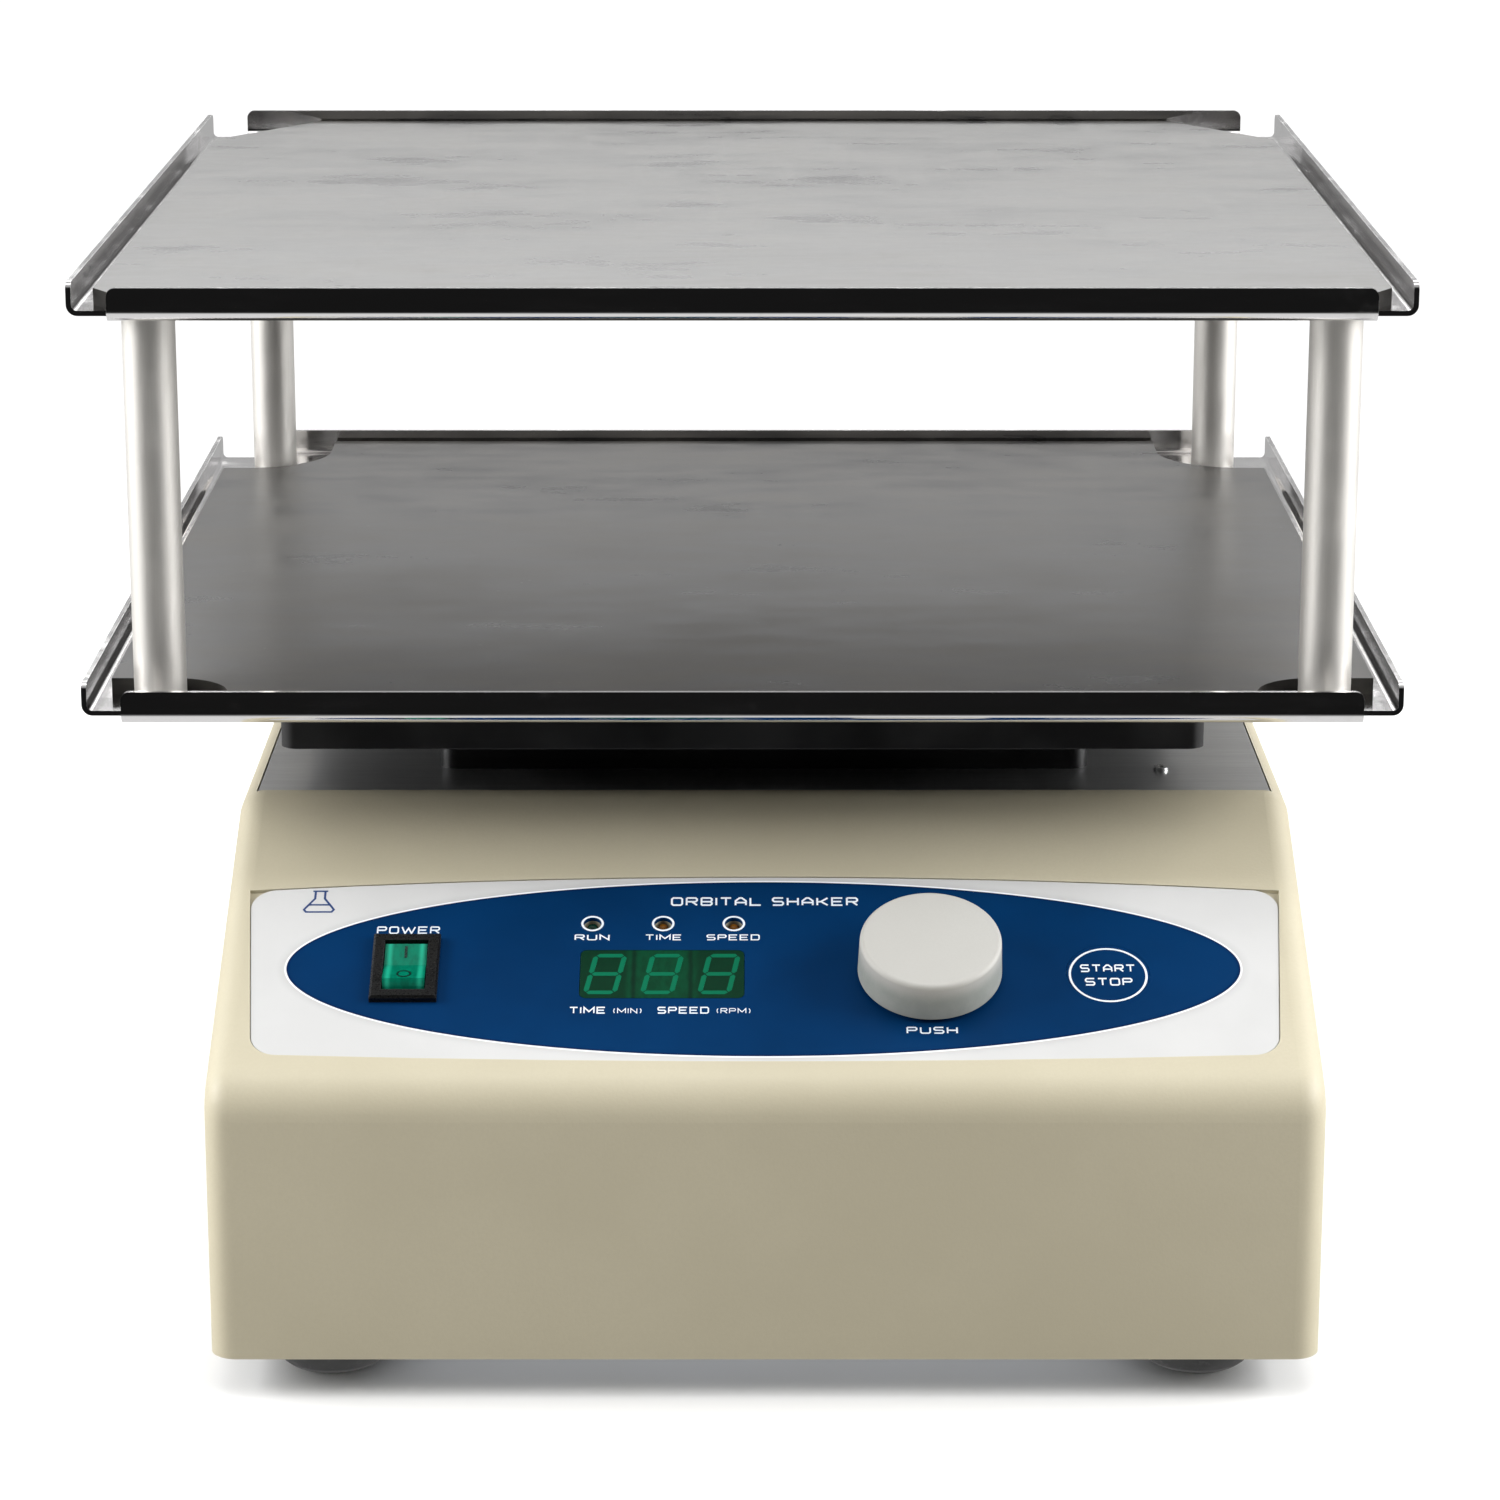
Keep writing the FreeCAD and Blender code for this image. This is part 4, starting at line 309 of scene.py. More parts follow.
@dataclass(frozen=True)
class Finish:
    """A finish that covers a whole piece.

    Each subclass adds what changes over its surface; the plain numbers are set on the shader's own sockets.
    """

    slot: str
    colour: Colour
    roughness: float = 0.5
    metallic: float = 0.0
    specular: float = 0.5
    coat: float = 0.0
    coat_roughness: float = 0.05

    def varied(self, graph: Graph) -> dict[str, Any]:
        """What changes over the surface, as inputs of the shader."""
        return {}

    def build(self) -> bpy.types.Material:
        """Makes the material.

        Returns:
            The material, named after its slot.
        """
        material = bpy.data.materials.new("finish_" + self.slot)
        graph = Graph(material)
        sockets = {
            "Base Color": self.colour,
            "Roughness": self.roughness,
            "Metallic": self.metallic,
            "Specular IOR Level": self.specular,
            "Coat Weight": self.coat,
            "Coat Roughness": self.coat_roughness,
        }
        sockets.update(self.varied(graph))
        shader = graph.add("ShaderNodeBsdfPrincipled", {}, sockets)
        graph.finish("ShaderNodeOutputMaterial", shader)
        return material


@dataclass(frozen=True)
class SparkedPlastic(Finish):
    """Moulded plastic with a fine spark-eroded skin and lightly rubbed edges."""

    shade: Colour = (0.5, 0.5, 0.5)
    rubbed: Colour = (0.8, 0.8, 0.8)
    spark: float = 0.45 * MM
    depth: float = 0.02 * MM
    edge: float = 0.5 * MM
    rub: float = 0.3

    def varied(self, graph: Graph) -> dict[str, Any]:
        """Spark texture, slow drifts of tone, and polish where hands and cloths reach.

        Args:
            graph: The graph of the material.

        Returns:
            The shader's inputs that change over the surface.
        """
        spark = graph.noise(self.spark, detail=2.0, roughness=0.6)
        drift = graph.noise(70 * MM, detail=4.0).rise(0.35, 0.7)
        smear = graph.noise(9 * MM, (3.0, 1.0, 1.0), detail=4.0).rise(0.52, 0.72)
        worn = graph.edges(self.edge)
        colour = graph.mix(drift * 0.7, self.colour, self.shade)
        colour = graph.mix(spark.rise(0.3, 0.7) * 0.22, colour, self.shade)
        colour = graph.mix(worn * self.rub, colour, self.rubbed)
        rough = self.roughness + (spark - 0.5) * 0.3 - smear * 0.06 - worn * 0.08
        return {"Base Color": colour, "Roughness": rough, "Normal": graph.bump(spark, self.depth, 0.6)}


@dataclass(frozen=True)
class FootShadedPlastic(SparkedPlastic):
    """Moulded plastic with painted shade that grows darker towards its foot."""

    foot_shade: Colour = (0.3, 0.32, 0.29)
    out: tuple[float, float, float] = (0.0, 0.0, 1.0)
    origin: tuple[float, float, float] = (0.0, 0.0, 0.0)
    shade_level: float = 9.8 * MM

    def varied(self, graph: Graph) -> dict[str, Any]:
        """The moulded skin with patchy painted shade below the crown.

        Args:
            graph: The graph of the material.

        Returns:
            The shader's inputs that change over the surface.
        """
        inputs = super().varied(graph)
        # Painted shade: the side darkens in patches below a set height, towards the knob's foot.
        patches = graph.noise(4 * MM, detail=4.0).rise(0.2, 0.7)
        level = graph.along(self.out, self.origin).rise(self.shade_level, self.shade_level * 0.55)
        inputs["Base Color"] = graph.mix(level * (patches * 0.25 + 0.6), inputs["Base Color"], self.foot_shade)
        return inputs


@dataclass(frozen=True)
class BrushedMetal(Finish):
    """Sheet or bar with fine parallel brushing."""

    metallic: float = 1.0
    shade: Colour = (0.4, 0.4, 0.4)
    run: tuple[float, float, float] = (60.0, 1.0, 1.0)
    line: float = 0.35 * MM
    depth: float = 0.006 * MM
    bands: float = 0.35

    def varied(self, graph: Graph) -> dict[str, Any]:
        """Brush lines, cloudy handling marks and brighter edges.

        Args:
            graph: The graph of the material.

        Returns:
            The shader's inputs that change over the surface.
        """
        lines = graph.noise(self.line, self.run, detail=3.0, roughness=0.7)
        broad = graph.noise(self.line * 12, self.run, detail=2.0).rise(0.35, 0.65)
        cloud = graph.noise(22 * MM, detail=4.0).rise(0.45, 0.7)
        worn = graph.edges(0.4 * MM)
        colour = graph.mix(lines.rise(0.25, 0.75) * self.bands, self.colour, self.shade)
        colour = graph.mix(broad * self.bands * 0.6, colour, self.shade)
        colour = graph.mix(worn * 0.5, colour, (0.9, 0.9, 0.9))
        rough = self.roughness + (lines - 0.5) * 0.22 + cloud * 0.07
        return {"Base Color": colour, "Roughness": rough, "Normal": graph.bump(lines, self.depth, 0.5)}


@dataclass(frozen=True)
class PolishedSheet(Finish):
    """Bright stainless sheet with wipe marks and faint waves."""

    metallic: float = 1.0
    smudge: Colour = (0.5, 0.5, 0.5)

    def varied(self, graph: Graph) -> dict[str, Any]:
        """Slow waves from bending, wipe marks, finger smudges, and sheared edges that are rougher and carry a
        painted highlight.

        Args:
            graph: The graph of the material.

        Returns:
            The shader's inputs that change over the surface.
        """
        wave = graph.noise(30 * MM, detail=1.0)
        wipe = graph.noise(1.6 * MM, (14.0, 14.0, 2.0), detail=4.0, roughness=0.65)
        prints = graph.noise(12 * MM, detail=5.0, roughness=0.6).rise(0.55, 0.75)
        shear_and_highlight = graph.edges(0.25 * MM)
        colour = graph.mix(prints * 0.3, self.colour, self.smudge)
        # Painted highlight: the sheared edges are lightened nearly to white; their added roughness is the
        # real shear.
        colour = graph.mix(shear_and_highlight * 0.8, colour, (0.95, 0.95, 0.95))
        rough = self.roughness + wipe.rise(0.4, 0.75) * 0.07 + prints * 0.12 + shear_and_highlight * 0.15
        relief = wave * 0.97 + wipe * 0.03
        return {"Base Color": colour, "Roughness": rough, "Normal": graph.bump(relief, 0.04 * MM, 0.3)}


@dataclass(frozen=True)
class MachinedMetal(Finish):
    """Turned, ground or plated metal parts."""

    metallic: float = 1.0
    shade: Colour = (0.35, 0.35, 0.35)
    grain: float = 0.5 * MM
    depth: float = 0.01 * MM

    def varied(self, graph: Graph) -> dict[str, Any]:
        """Grain, plating clouds and bright corners.

        Args:
            graph: The graph of the material.

        Returns:
            The shader's inputs that change over the surface.
        """
        grain = graph.noise(self.grain, detail=3.0, roughness=0.65)
        cloud = graph.noise(8 * MM, detail=3.0).rise(0.35, 0.7)
        worn = graph.edges(0.25 * MM)
        colour = graph.mix(cloud * 0.5, self.colour, self.shade)
        colour = graph.mix(worn * 0.5, colour, (0.85, 0.85, 0.85))
        rough = self.roughness + (grain - 0.5) * 0.25 + cloud * 0.08
        return {"Base Color": colour, "Roughness": rough, "Normal": graph.bump(grain, self.depth, 0.6)}


@dataclass(frozen=True)
class Rubber(Finish):
    """Moulded or calendered rubber with scuffs and dust."""

    shade: Colour = (0.05, 0.05, 0.05)
    dust: Colour = (0.2, 0.2, 0.2)
    scuff: float = 0.35
    patch: float = 34 * MM
    ripple: float = 0.0

    def varied(self, graph: Graph) -> dict[str, Any]:
        """Cloudy wear, wiped marks, dust specks, slow waves and a leathery skin.

        Args:
            graph: The graph of the material.

        Returns:
            The shader's inputs that change over the surface.
        """
        cloud = graph.noise(self.patch, (1.8, 1.0, 1.0), detail=6.0, roughness=0.6)
        mottle = graph.noise(self.patch * 0.25, (2.6, 1.0, 1.0), detail=5.0, roughness=0.55)
        wipe = graph.noise(self.patch * 0.3, (1.0, 5.0, 1.0), detail=5.0, roughness=0.6).rise(0.52, 0.78)
        wave = graph.noise(self.patch * 2.4, detail=1.0)
        skin = graph.noise(0.9 * MM, detail=3.0, roughness=0.6)
        speck = graph.cells(7 * MM).rise(0.08, 0.03) * graph.noise(40 * MM).rise(0.5, 0.6)
        worn = (cloud * 0.5 + mottle * 0.5).rise(0.26, 0.74)
        colour = graph.mix(worn, self.colour, self.shade)
        colour = graph.mix(wipe * self.scuff, colour, self.dust)
        colour = graph.mix(speck * 0.6, colour, self.dust)
        rough = self.roughness + (cloud - 0.5) * 0.35 + (mottle - 0.5) * 0.22 + wipe * 0.05
        skin = graph.bump(skin * 0.7 + mottle * 0.3, 0.03 * MM, 0.35)
        waved = graph.add("ShaderNodeBump", {}, {"Height": wave, "Distance": self.ripple, "Normal": skin})
        return {"Base Color": colour, "Roughness": rough, "Normal": waved}


@dataclass(frozen=True)
class AnodisedBlack(Finish):
    """Black anodised aluminium, lighter along its milled corners."""

    shade: Colour = (0.03, 0.03, 0.032)

    def varied(self, graph: Graph) -> dict[str, Any]:
        """Milling lines under the black, a drift of tone and rubbed corners.

        Args:
            graph: The graph of the material.

        Returns:
            The shader's inputs that change over the surface.
        """
        mill = graph.noise(0.5 * MM, (40.0, 1.0, 1.0), detail=2.0)
        drift = graph.noise(25 * MM, detail=3.0).rise(0.35, 0.7)
        worn = graph.edges(0.35 * MM)
        colour = graph.mix(drift * 0.6, self.colour, self.shade)
        colour = graph.mix(worn * 0.5, colour, (0.22, 0.22, 0.23))
        rough = self.roughness + (mill - 0.5) * 0.2 - worn * 0.1
        return {"Base Color": colour, "Roughness": rough, "Normal": graph.bump(mill, 0.008 * MM, 0.5)}


@dataclass(frozen=True)
class PrintedFilm(Finish):
    """A matt polyester label film with one printed ellipse and its outline."""

    film: Colour = (0.65, 0.65, 0.645)
    rim: Colour = (0.001, 0.008, 0.05)
    line: Colour = (0.9, 0.92, 0.95)
    middle: tuple[float, float, float] = (0.0, 0.0, 0.0)
    across: tuple[float, float, float] = (1.0, 0.0, 0.0)
    up: tuple[float, float, float] = (0.0, 1.0, 0.0)
    half_width: float = 0.1
    half_height: float = 0.03

    def varied(self, graph: Graph) -> dict[str, Any]:
        """The ellipse with a darker rim and a white outline, and the film's own fine grain.

        Args:
            graph: The graph of the material.

        Returns:
            The shader's inputs that change over the surface.
        """
        u = graph.along(self.across, self.middle) / self.half_width
        v = graph.along(self.up, self.middle) / self.half_height
        reach = (u * u + v * v).power(0.5)
        steep = ((u / self.half_width) * (u / self.half_width)
                 + (v / self.half_height) * (v / self.half_height)).power(0.5)
        off = (reach - 1.0) * reach / steep
        inside = off.rise(0.05 * MM, -0.05 * MM)
        rim = inside * off.rise(-0.9 * MM, -0.1 * MM)
        outline = off.rise(0.5 * MM, 0.4 * MM)
        halo = off.rise(2.6 * MM, 0.4 * MM)
        grain = graph.noise(0.25 * MM, detail=2.0)
        drift = graph.noise(30 * MM, detail=3.0).rise(0.3, 0.7)
        smear = graph.noise(7 * MM, (2.5, 1.0, 1.0), detail=5.0).rise(0.5, 0.75)
        deep = tuple(0.72 * part for part in self.colour)
        ink = graph.mix(drift * 0.6, self.colour, deep)
        ink = graph.mix(rim * 0.7, ink, self.rim)
        paper = graph.mix(drift * 0.35 + halo * 0.6, self.film, tuple(0.86 * part for part in self.film))
        colour = graph.mix(inside, graph.mix(outline, paper, self.line), ink)
        rough = self.roughness + (grain - 0.5) * 0.2 + smear * 0.08
        return {"Base Color": colour, "Roughness": rough, "Normal": graph.bump(grain, 0.006 * MM, 0.5)}


@dataclass(frozen=True)
class TintedLens(Finish):
    """Clear tinted plastic with a painted band near each side and painted shade at its outer edges."""

    # Colour of the painted band: a painted highlight on the rocker and the lamps, darker than the lens on the
    # display filter.
    band_colour: Colour = (0.1, 0.6, 0.4)
    middle: tuple[float, float, float] = (0.0, 0.0, 0.0)
    axis: tuple[float, float, float] = (1.0, 0.0, 0.0)
    band_at: float = 3.6 * MM
    band_width: float = 1.0 * MM

    def varied(self, graph: Graph) -> dict[str, Any]:
        """A painted band near each side, painted shade on the outer edges and faint flow marks.

        Args:
            graph: The graph of the material.

        Returns:
            The shader's inputs that change over the surface.
        """
        across = abs(graph.along(self.axis, self.middle))
        # Painted band near each side, in the band colour; it is a painted highlight where that colour is
        # lighter than the lens.
        near = abs(across - self.band_at)
        painted_band = near.rise(self.band_width, 0.0)
        # Painted shade towards the outer edges.
        outer = across.rise(self.band_at + self.band_width * 0.7, self.band_at + self.band_width * 2.2)
        flow = graph.noise(1.2 * MM, (1.0, 2.5, 2.5), detail=3.0)
        deep = tuple(0.45 * part for part in self.colour)
        colour = graph.mix(flow.rise(0.35, 0.7) * 0.5, self.colour, deep)
        colour = graph.mix(outer * 0.8, colour, deep)
        colour = graph.mix(painted_band * 0.75, colour, self.band_colour)
        rough = self.roughness + (flow - 0.5) * 0.08
        return {"Base Color": colour, "Roughness": rough, "Normal": graph.bump(flow, 0.01 * MM, 0.4)}


@dataclass(frozen=True)
class Winding(Finish):
    """Enamelled copper wire laid in turns."""

    metallic: float = 0.9
    pitch: float = 0.6 * MM

    def varied(self, graph: Graph) -> dict[str, Any]:
        """Round turns side by side, with painted shade in the grooves between them and enamel that varies in
        tone.

        Args:
            graph: The graph of the material.

        Returns:
            The shader's inputs that change over the surface.
        """
        height = graph.along((0, 0, 1)) / self.pitch
        turn = abs(graph.math("FRACT", height) - 0.5) * 2.0
        drift = graph.noise(5 * MM, detail=3.0).rise(0.3, 0.7)
        # Painted shade in the grooves between neighbouring turns.
        colour = graph.mix(turn.rise(0.6, 1.0), self.colour, tuple(0.2 * part for part in self.colour))
        colour = graph.mix(drift * 0.4, colour, tuple(0.6 * part for part in self.colour))
        return {"Base Color": colour, "Normal": graph.bump(1.0 - turn, 0.2 * MM)}


@dataclass(frozen=True)
class CircuitBoard(Finish):
    """Green solder mask over copper tracks with tinned pads."""

    track: Colour = (0.02, 0.2, 0.09)
    pad: Colour = (0.7, 0.7, 0.66)

    def varied(self, graph: Graph) -> dict[str, Any]:
        """Square tracks in two directions, round pads and a mottled mask.

        Args:
            graph: The graph of the material.

        Returns:
            The shader's inputs that change over the surface.
        """
        cell = graph.cells(6 * MM, "Color")
        mask = graph.noise(2 * MM, (6.0, 1.0, 1.0), detail=1.0).rise(0.52, 0.55)
        other = graph.noise(2 * MM, (1.0, 6.0, 1.0), detail=1.0).rise(0.55, 0.58)
        pads = graph.cells(5 * MM).rise(0.16, 0.13)
        colour = graph.mix(0.12, self.colour, cell, "OVERLAY")
        colour = graph.mix(mask.larger(other) * 0.8, colour, self.track)
        colour = graph.mix(pads, colour, self.pad)
        return {
            "Base Color": colour,
            "Roughness": self.roughness - pads * 0.1,
            "Metallic": pads * 0.9,
            "Normal": graph.bump(mask.larger(other).larger(pads), 0.03 * MM),
        }


# ---------------------------------------------------------------- meshes


class Tone(Enum):
    """The inks that the legends and marks are printed in."""

    WHITE = "white"
    NAVY = "navy"
    DIGIT = "digit"
    SHADE = "shade"


INKS: dict[Tone, SparkedPlastic] = {
    Tone.WHITE: SparkedPlastic("ink_white", (0.86, 0.90, 0.94), 0.4, shade=(0.78, 0.83, 0.9), rub=0.0),
    Tone.NAVY: SparkedPlastic("ink_navy", (0.01, 0.04, 0.17), 0.4, shade=(0.02, 0.06, 0.2), rub=0.0),
    Tone.DIGIT: SparkedPlastic("ink_digit", (0.0, 0.155, 0.075), 0.4, shade=(0.0, 0.13, 0.06), rub=0.0,
                               specular=0.12),
    Tone.SHADE: SparkedPlastic("ink_shade", (0.002, 0.03, 0.02), 0.3, shade=(0.002, 0.02, 0.014), rub=0.0),
}


def stroke(points: Sequence[Point], width: float) -> list[list[Point]]:
    """Turns a line of points into flat panels of an even width with mitred corners.

    Args:
        points: The middle line; it closes when its last point is its first.
        width: The width of the stroke.

    Returns:
        One four-cornered panel for each run of the line.
    """
    closed = points[0] == points[-1]
    spots = [Vector(point) for point in (points[:-1] if closed else points)]
    count = len(spots)
    offsets = []
    for index, spot in enumerate(spots):
        before = spots[index - 1] if closed or index else None
        after = spots[(index + 1) % count] if closed or index < count - 1 else None
        runs = [run.normalized() for run in ((spot - before) if before else None,
                                             (after - spot) if after else None) if run]
        normals = [Vector((-run.y, run.x)) for run in runs]
        mitre = sum(normals, Vector((0.0, 0.0))).normalized()
        length = width / 2 / max(0.4, mitre.dot(normals[0]))
        offsets.append(mitre * length)
    panels = []
    for index in range(count if closed else count - 1):
        ahead = (index + 1) % count
        panels.append([tuple(spots[index] + offsets[index]), tuple(spots[index] - offsets[index]),
                       tuple(spots[ahead] - offsets[ahead]), tuple(spots[ahead] + offsets[ahead])])
    return panels


def arc(middle: Point, radius: float, start: float, end: float, steps: int = 24) -> list[Point]:
    """Points along a round arc.

    Args:
        middle: The middle of the circle.
        radius: Its radius.
        start: The first angle in degrees.
        end: The last angle in degrees.
        steps: How many runs the arc has.

    Returns:
        The points; a full turn ends on its first point.
    """
    points = []
    for step in range(steps + 1):
        angle = math.radians(start + (end - start) * step / steps)
        points.append((middle[0] + radius * math.cos(angle), middle[1] + radius * math.sin(angle)))
    if abs(end - start) == 360:
        points[-1] = points[0]
    return points


@dataclass(frozen=True)
class Lettering:
    """Wide square capitals drawn with strokes, each on a box one unit high."""

    weight: float = 0.21
    gap: float = 0.5
    corner: float = 0.16
    waist: float = 0.48
    wide: float = 1.15

    def glyph(self, letter: str) -> tuple[float, list[list[Point]]]:
        """The strokes of one letter.

        Args:
            letter: A capital letter, a bracket or a space.

        Returns:
            The letter's width and its strokes.
        """
        c, m = self.corner, self.waist
        w = {"I": 0.0, "M": 1.5, "W": 1.8, " ": 0.35, "(": 0.25, ")": 0.25}.get(letter, self.wide)
        bowl = [(0, 1), (w - c, 1), (w, 1 - c), (w, m + c), (w - c, m), (0, m)]
        shapes: dict[str, list[list[Point]]] = {
            "A": [[(0, 0), (0, 0.6), (0.38 * w, 1), (0.62 * w, 1), (w, 0.6), (w, 0)], [(0, 0.36), (w, 0.36)]],
            "B": [bowl, [(0, 0), (0, 1)], [(0, 0), (w - c, 0), (w, c), (w, m - c), (w - c, m)]],
            "D": [[(0, 0), (0, 1), (w - c, 1), (w, 1 - c), (w, c), (w - c, 0), (0, 0)]],
            "E": [[(w, 1), (0, 1), (0, 0), (w, 0)], [(0, 0.5), (0.88 * w, 0.5)]],
            "H": [[(0, 0), (0, 1)], [(w, 0), (w, 1)], [(0, 0.5), (w, 0.5)]],
            "I": [[(0, 0), (0, 1)]],
            "K": [[(0, 0), (0, 1)], [(0, 0.45), (0.35 * w, 0.5), (w, 1)], [(0.35 * w, 0.5), (w, 0)]],
            "L": [[(0, 1), (0, 0), (w, 0)]],
            "M": [[(0, 0), (0, 1), (w / 2, 0.25), (w, 1), (w, 0)]],
            "N": [[(0, 0), (0, 1), (w, 0), (w, 1)]],
            "O": [[(c, 0), (w - c, 0), (w, c), (w, 1 - c), (w - c, 1), (c, 1), (0, 1 - c), (0, c), (c, 0)]],
            "P": [bowl, [(0, 0), (0, 1)]],
            "R": [bowl, [(0, 0), (0, 1)], [(0.5 * w, m), (w, 0)]],
            "S": [[(w, 1), (c, 1), (0, 1 - c), (0, 0.5 + c), (c, 0.5), (w - c, 0.5), (w, 0.5 - c), (w, c),
                   (w - c, 0), (0, 0)]],
            "T": [[(0, 1), (w, 1)], [(w / 2, 1), (w / 2, 0)]],
            "U": [[(0, 1), (0, c), (c, 0), (w - c, 0), (w, c), (w, 1)]],
            "W": [[(0, 1), (0.25 * w, 0), (0.5 * w, 0.8), (0.75 * w, 0), (w, 1)]],
            "(": [arc((0.75, 0.5), 0.75, 140, 220, 6)],
            ")": [arc((-0.45, 0.5), 0.75, 40, -40, 6)],
        }
        return w, shapes.get(letter, [])

    def panels(self, text: str, middle: Point, width: float, height: float,
               small: float = 1.0) -> list[list[Point]]:
        """Lays out a line of text.

        Args:
            text: The text; letters in brackets take the smaller size.
            middle: The middle of the line.
            width: The full width of the line.
            height: The height of its capitals.
            small: The size of letters in brackets, as a share of the rest.

        Returns:
            The flat panels of all strokes.
        """
        panels, cursor, scale = [], 0.0, 1.0
        for letter in text:
            scale = small if letter == "(" else scale
            wide, strokes = self.glyph(letter)
            for points in strokes:
                placed = [(cursor + x * scale, y * scale) for x, y in points]
                panels += stroke(placed, self.weight * scale * scale)
            cursor += (wide + self.gap) * scale
        total = cursor - self.gap * scale
        wide, tall = width / (total + self.weight), height / (1.0 + self.weight)
        return [[(middle[0] + (x - total / 2) * wide, middle[1] + (y - 0.5) * tall) for x, y in panel]
                for panel in panels]


@dataclass
class Deck:
    """The sloped face of the console, as a frame for what is printed or set on it."""

    slope: float = math.radians(25.0)
    film: float = 0.8 * MM
    ink: float = 0.02 * MM
    probe: float = 20 * MM
    across: Vector = field(init=False)
    up: Vector = field(init=False)
    out: Vector = field(init=False)
    middle: Vector = field(init=False)

    def __post_init__(self) -> None:
        """Works out the face's axes and the middle of its film."""
        low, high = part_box("panel_overlay")
        self.across = Vector((1.0, 0.0, 0.0))
        self.up = Vector((0.0, math.cos(self.slope), math.sin(self.slope)))
        self.out = Vector((0.0, -math.sin(self.slope), math.cos(self.slope)))
        self.middle = (low + high) / 2 + self.out * self.film / 2

    def spot(self, node: str) -> Point:
        """Where the middle of a node lies on the face.

        Args:
            node: The name of the node.

        Returns:
            Its place across and up the face.
        """
        low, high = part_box(node)
        arm = (low + high) / 2 - self.middle
        return arm.dot(self.across), arm.dot(self.up)

    def print_on(self, name: str, panels: Iterable[Sequence[Point]], tone: Tone, body: str, under: str,
                 lift: float = 0.01 * MM) -> bpy.types.Object:
        """Lays thin printed panels onto a node and makes them ride with it.

        Args:
            name: The name of the new piece.
            panels: Flat outlines on the face.
            tone: The ink.
            body: The body that the piece moves with.
            under: The node that it lies on.
            lift: How far the ink's underside stands off the node.

        Returns:
            The new piece.
        """
        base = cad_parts[under]
        mesh = bmesh.new()
        for panel in panels:
            corners = [mesh.verts.new(self._drop(point, base, lift)) for point in panel]
            mesh.faces.new(corners)
        bmesh.ops.recalc_face_normals(mesh, faces=mesh.faces[:])
        for face in mesh.faces:
            if face.normal.dot(self.out) < 0:
                face.normal_flip()
        bmesh.ops.solidify(mesh, geom=mesh.faces[:], thickness=-self.ink)
        return make_piece(name, mesh, INKS[tone], body)

    def _drop(self, point: Point, base: bpy.types.Object, lift: float) -> Vector:
        """Drops a point of the face onto a node's surface.

        Args:
            point: The place across and up the face.
            base: The node's object.
            lift: How far above the surface the point ends.

        Returns:
            The point in the model's frame.
        """
        above = self.middle + self.across * point[0] + self.up * point[1] + self.out * self.probe
        hit, place, _, _ = base.ray_cast(above, -self.out)
        return (place if hit else above - self.out * self.probe) + self.out * lift


MATERIALS: dict[str, bpy.types.Material] = {}


def material_of(finish: Finish) -> bpy.types.Material:
    """The material of a finish, made once.

    Args:
        finish: The finish.

    Returns:
        Its material.
    """
    if finish.slot not in MATERIALS:
        MATERIALS[finish.slot] = finish.build()
    return MATERIALS[finish.slot]


def make_piece(name: str, mesh: bmesh.types.BMesh, finish: Finish, body: str) -> bpy.types.Object:
    """Makes an object from a mesh, gives it its finish and makes it ride.

    Args:
        name: The name of the piece.
        mesh: Its mesh, which is used up.
        finish: Its finish.
        body: The body that it moves with.

    Returns:
        The piece.
    """
    data = bpy.data.meshes.new(name)
    mesh.to_mesh(data)
    mesh.free()
    piece = bpy.data.objects.new(name, data)
    bpy.context.scene.collection.objects.link(piece)
    data.materials.append(material_of(finish))
    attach(piece, body)
    LOG.info("%s: %d faces on %s", name, len(data.polygons), body)
    return piece


def dress(finish: Finish, *names: str) -> None:
    """Gives nodes their finish.

    Args:
        finish: The finish.
        names: The nodes that have it.
    """
    for name in names:
        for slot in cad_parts[name].material_slots:
            slot.material = material_of(finish)
        LOG.info("%s: %s", name, finish.slot)


# ---------------------------------------------------------------- sub-assemblies


@dataclass
class Casing:
    """The moulded housing with its chassis, feet and metal top."""

    shell: Finish = SparkedPlastic("housing_plastic", (0.59, 0.54, 0.4), 0.5, shade=(0.535, 0.487, 0.355),
                                   rubbed=(0.74, 0.72, 0.62), spark=0.7 * MM, depth=0.05 * MM)
    plate: Finish = MachinedMetal("zinc_plate", (0.62, 0.64, 0.68), 0.34, shade=(0.5, 0.5, 0.46))
    screws: Finish = MachinedMetal("screw_steel", (0.7, 0.7, 0.7), 0.25, shade=(0.5, 0.5, 0.5))
    feet: Finish = Rubber("foot_rubber", (0.012, 0.012, 0.012), 0.6, shade=(0.03, 0.03, 0.03), patch=8 * MM)
    deck: Finish = BrushedMetal("deck_aluminium", (0.72, 0.73, 0.73), 0.4, shade=(0.5, 0.5, 0.51),
                                run=(40.0, 1.0, 1.0))

    def build(self) -> None:
        """Dresses the casing's nodes."""
        dress(self.shell, "housing_shell")
        dress(self.plate, "chassis_plate", "motor_plate")
        dress(self.screws, "chassis_screws", "foot_screws", "earth_screw", "block_screws", "carriage_screws",
              "post_screws", "encoder_nut", "board_screws")
        dress(self.feet, "rubber_feet")
        dress(self.deck, "top_plate")


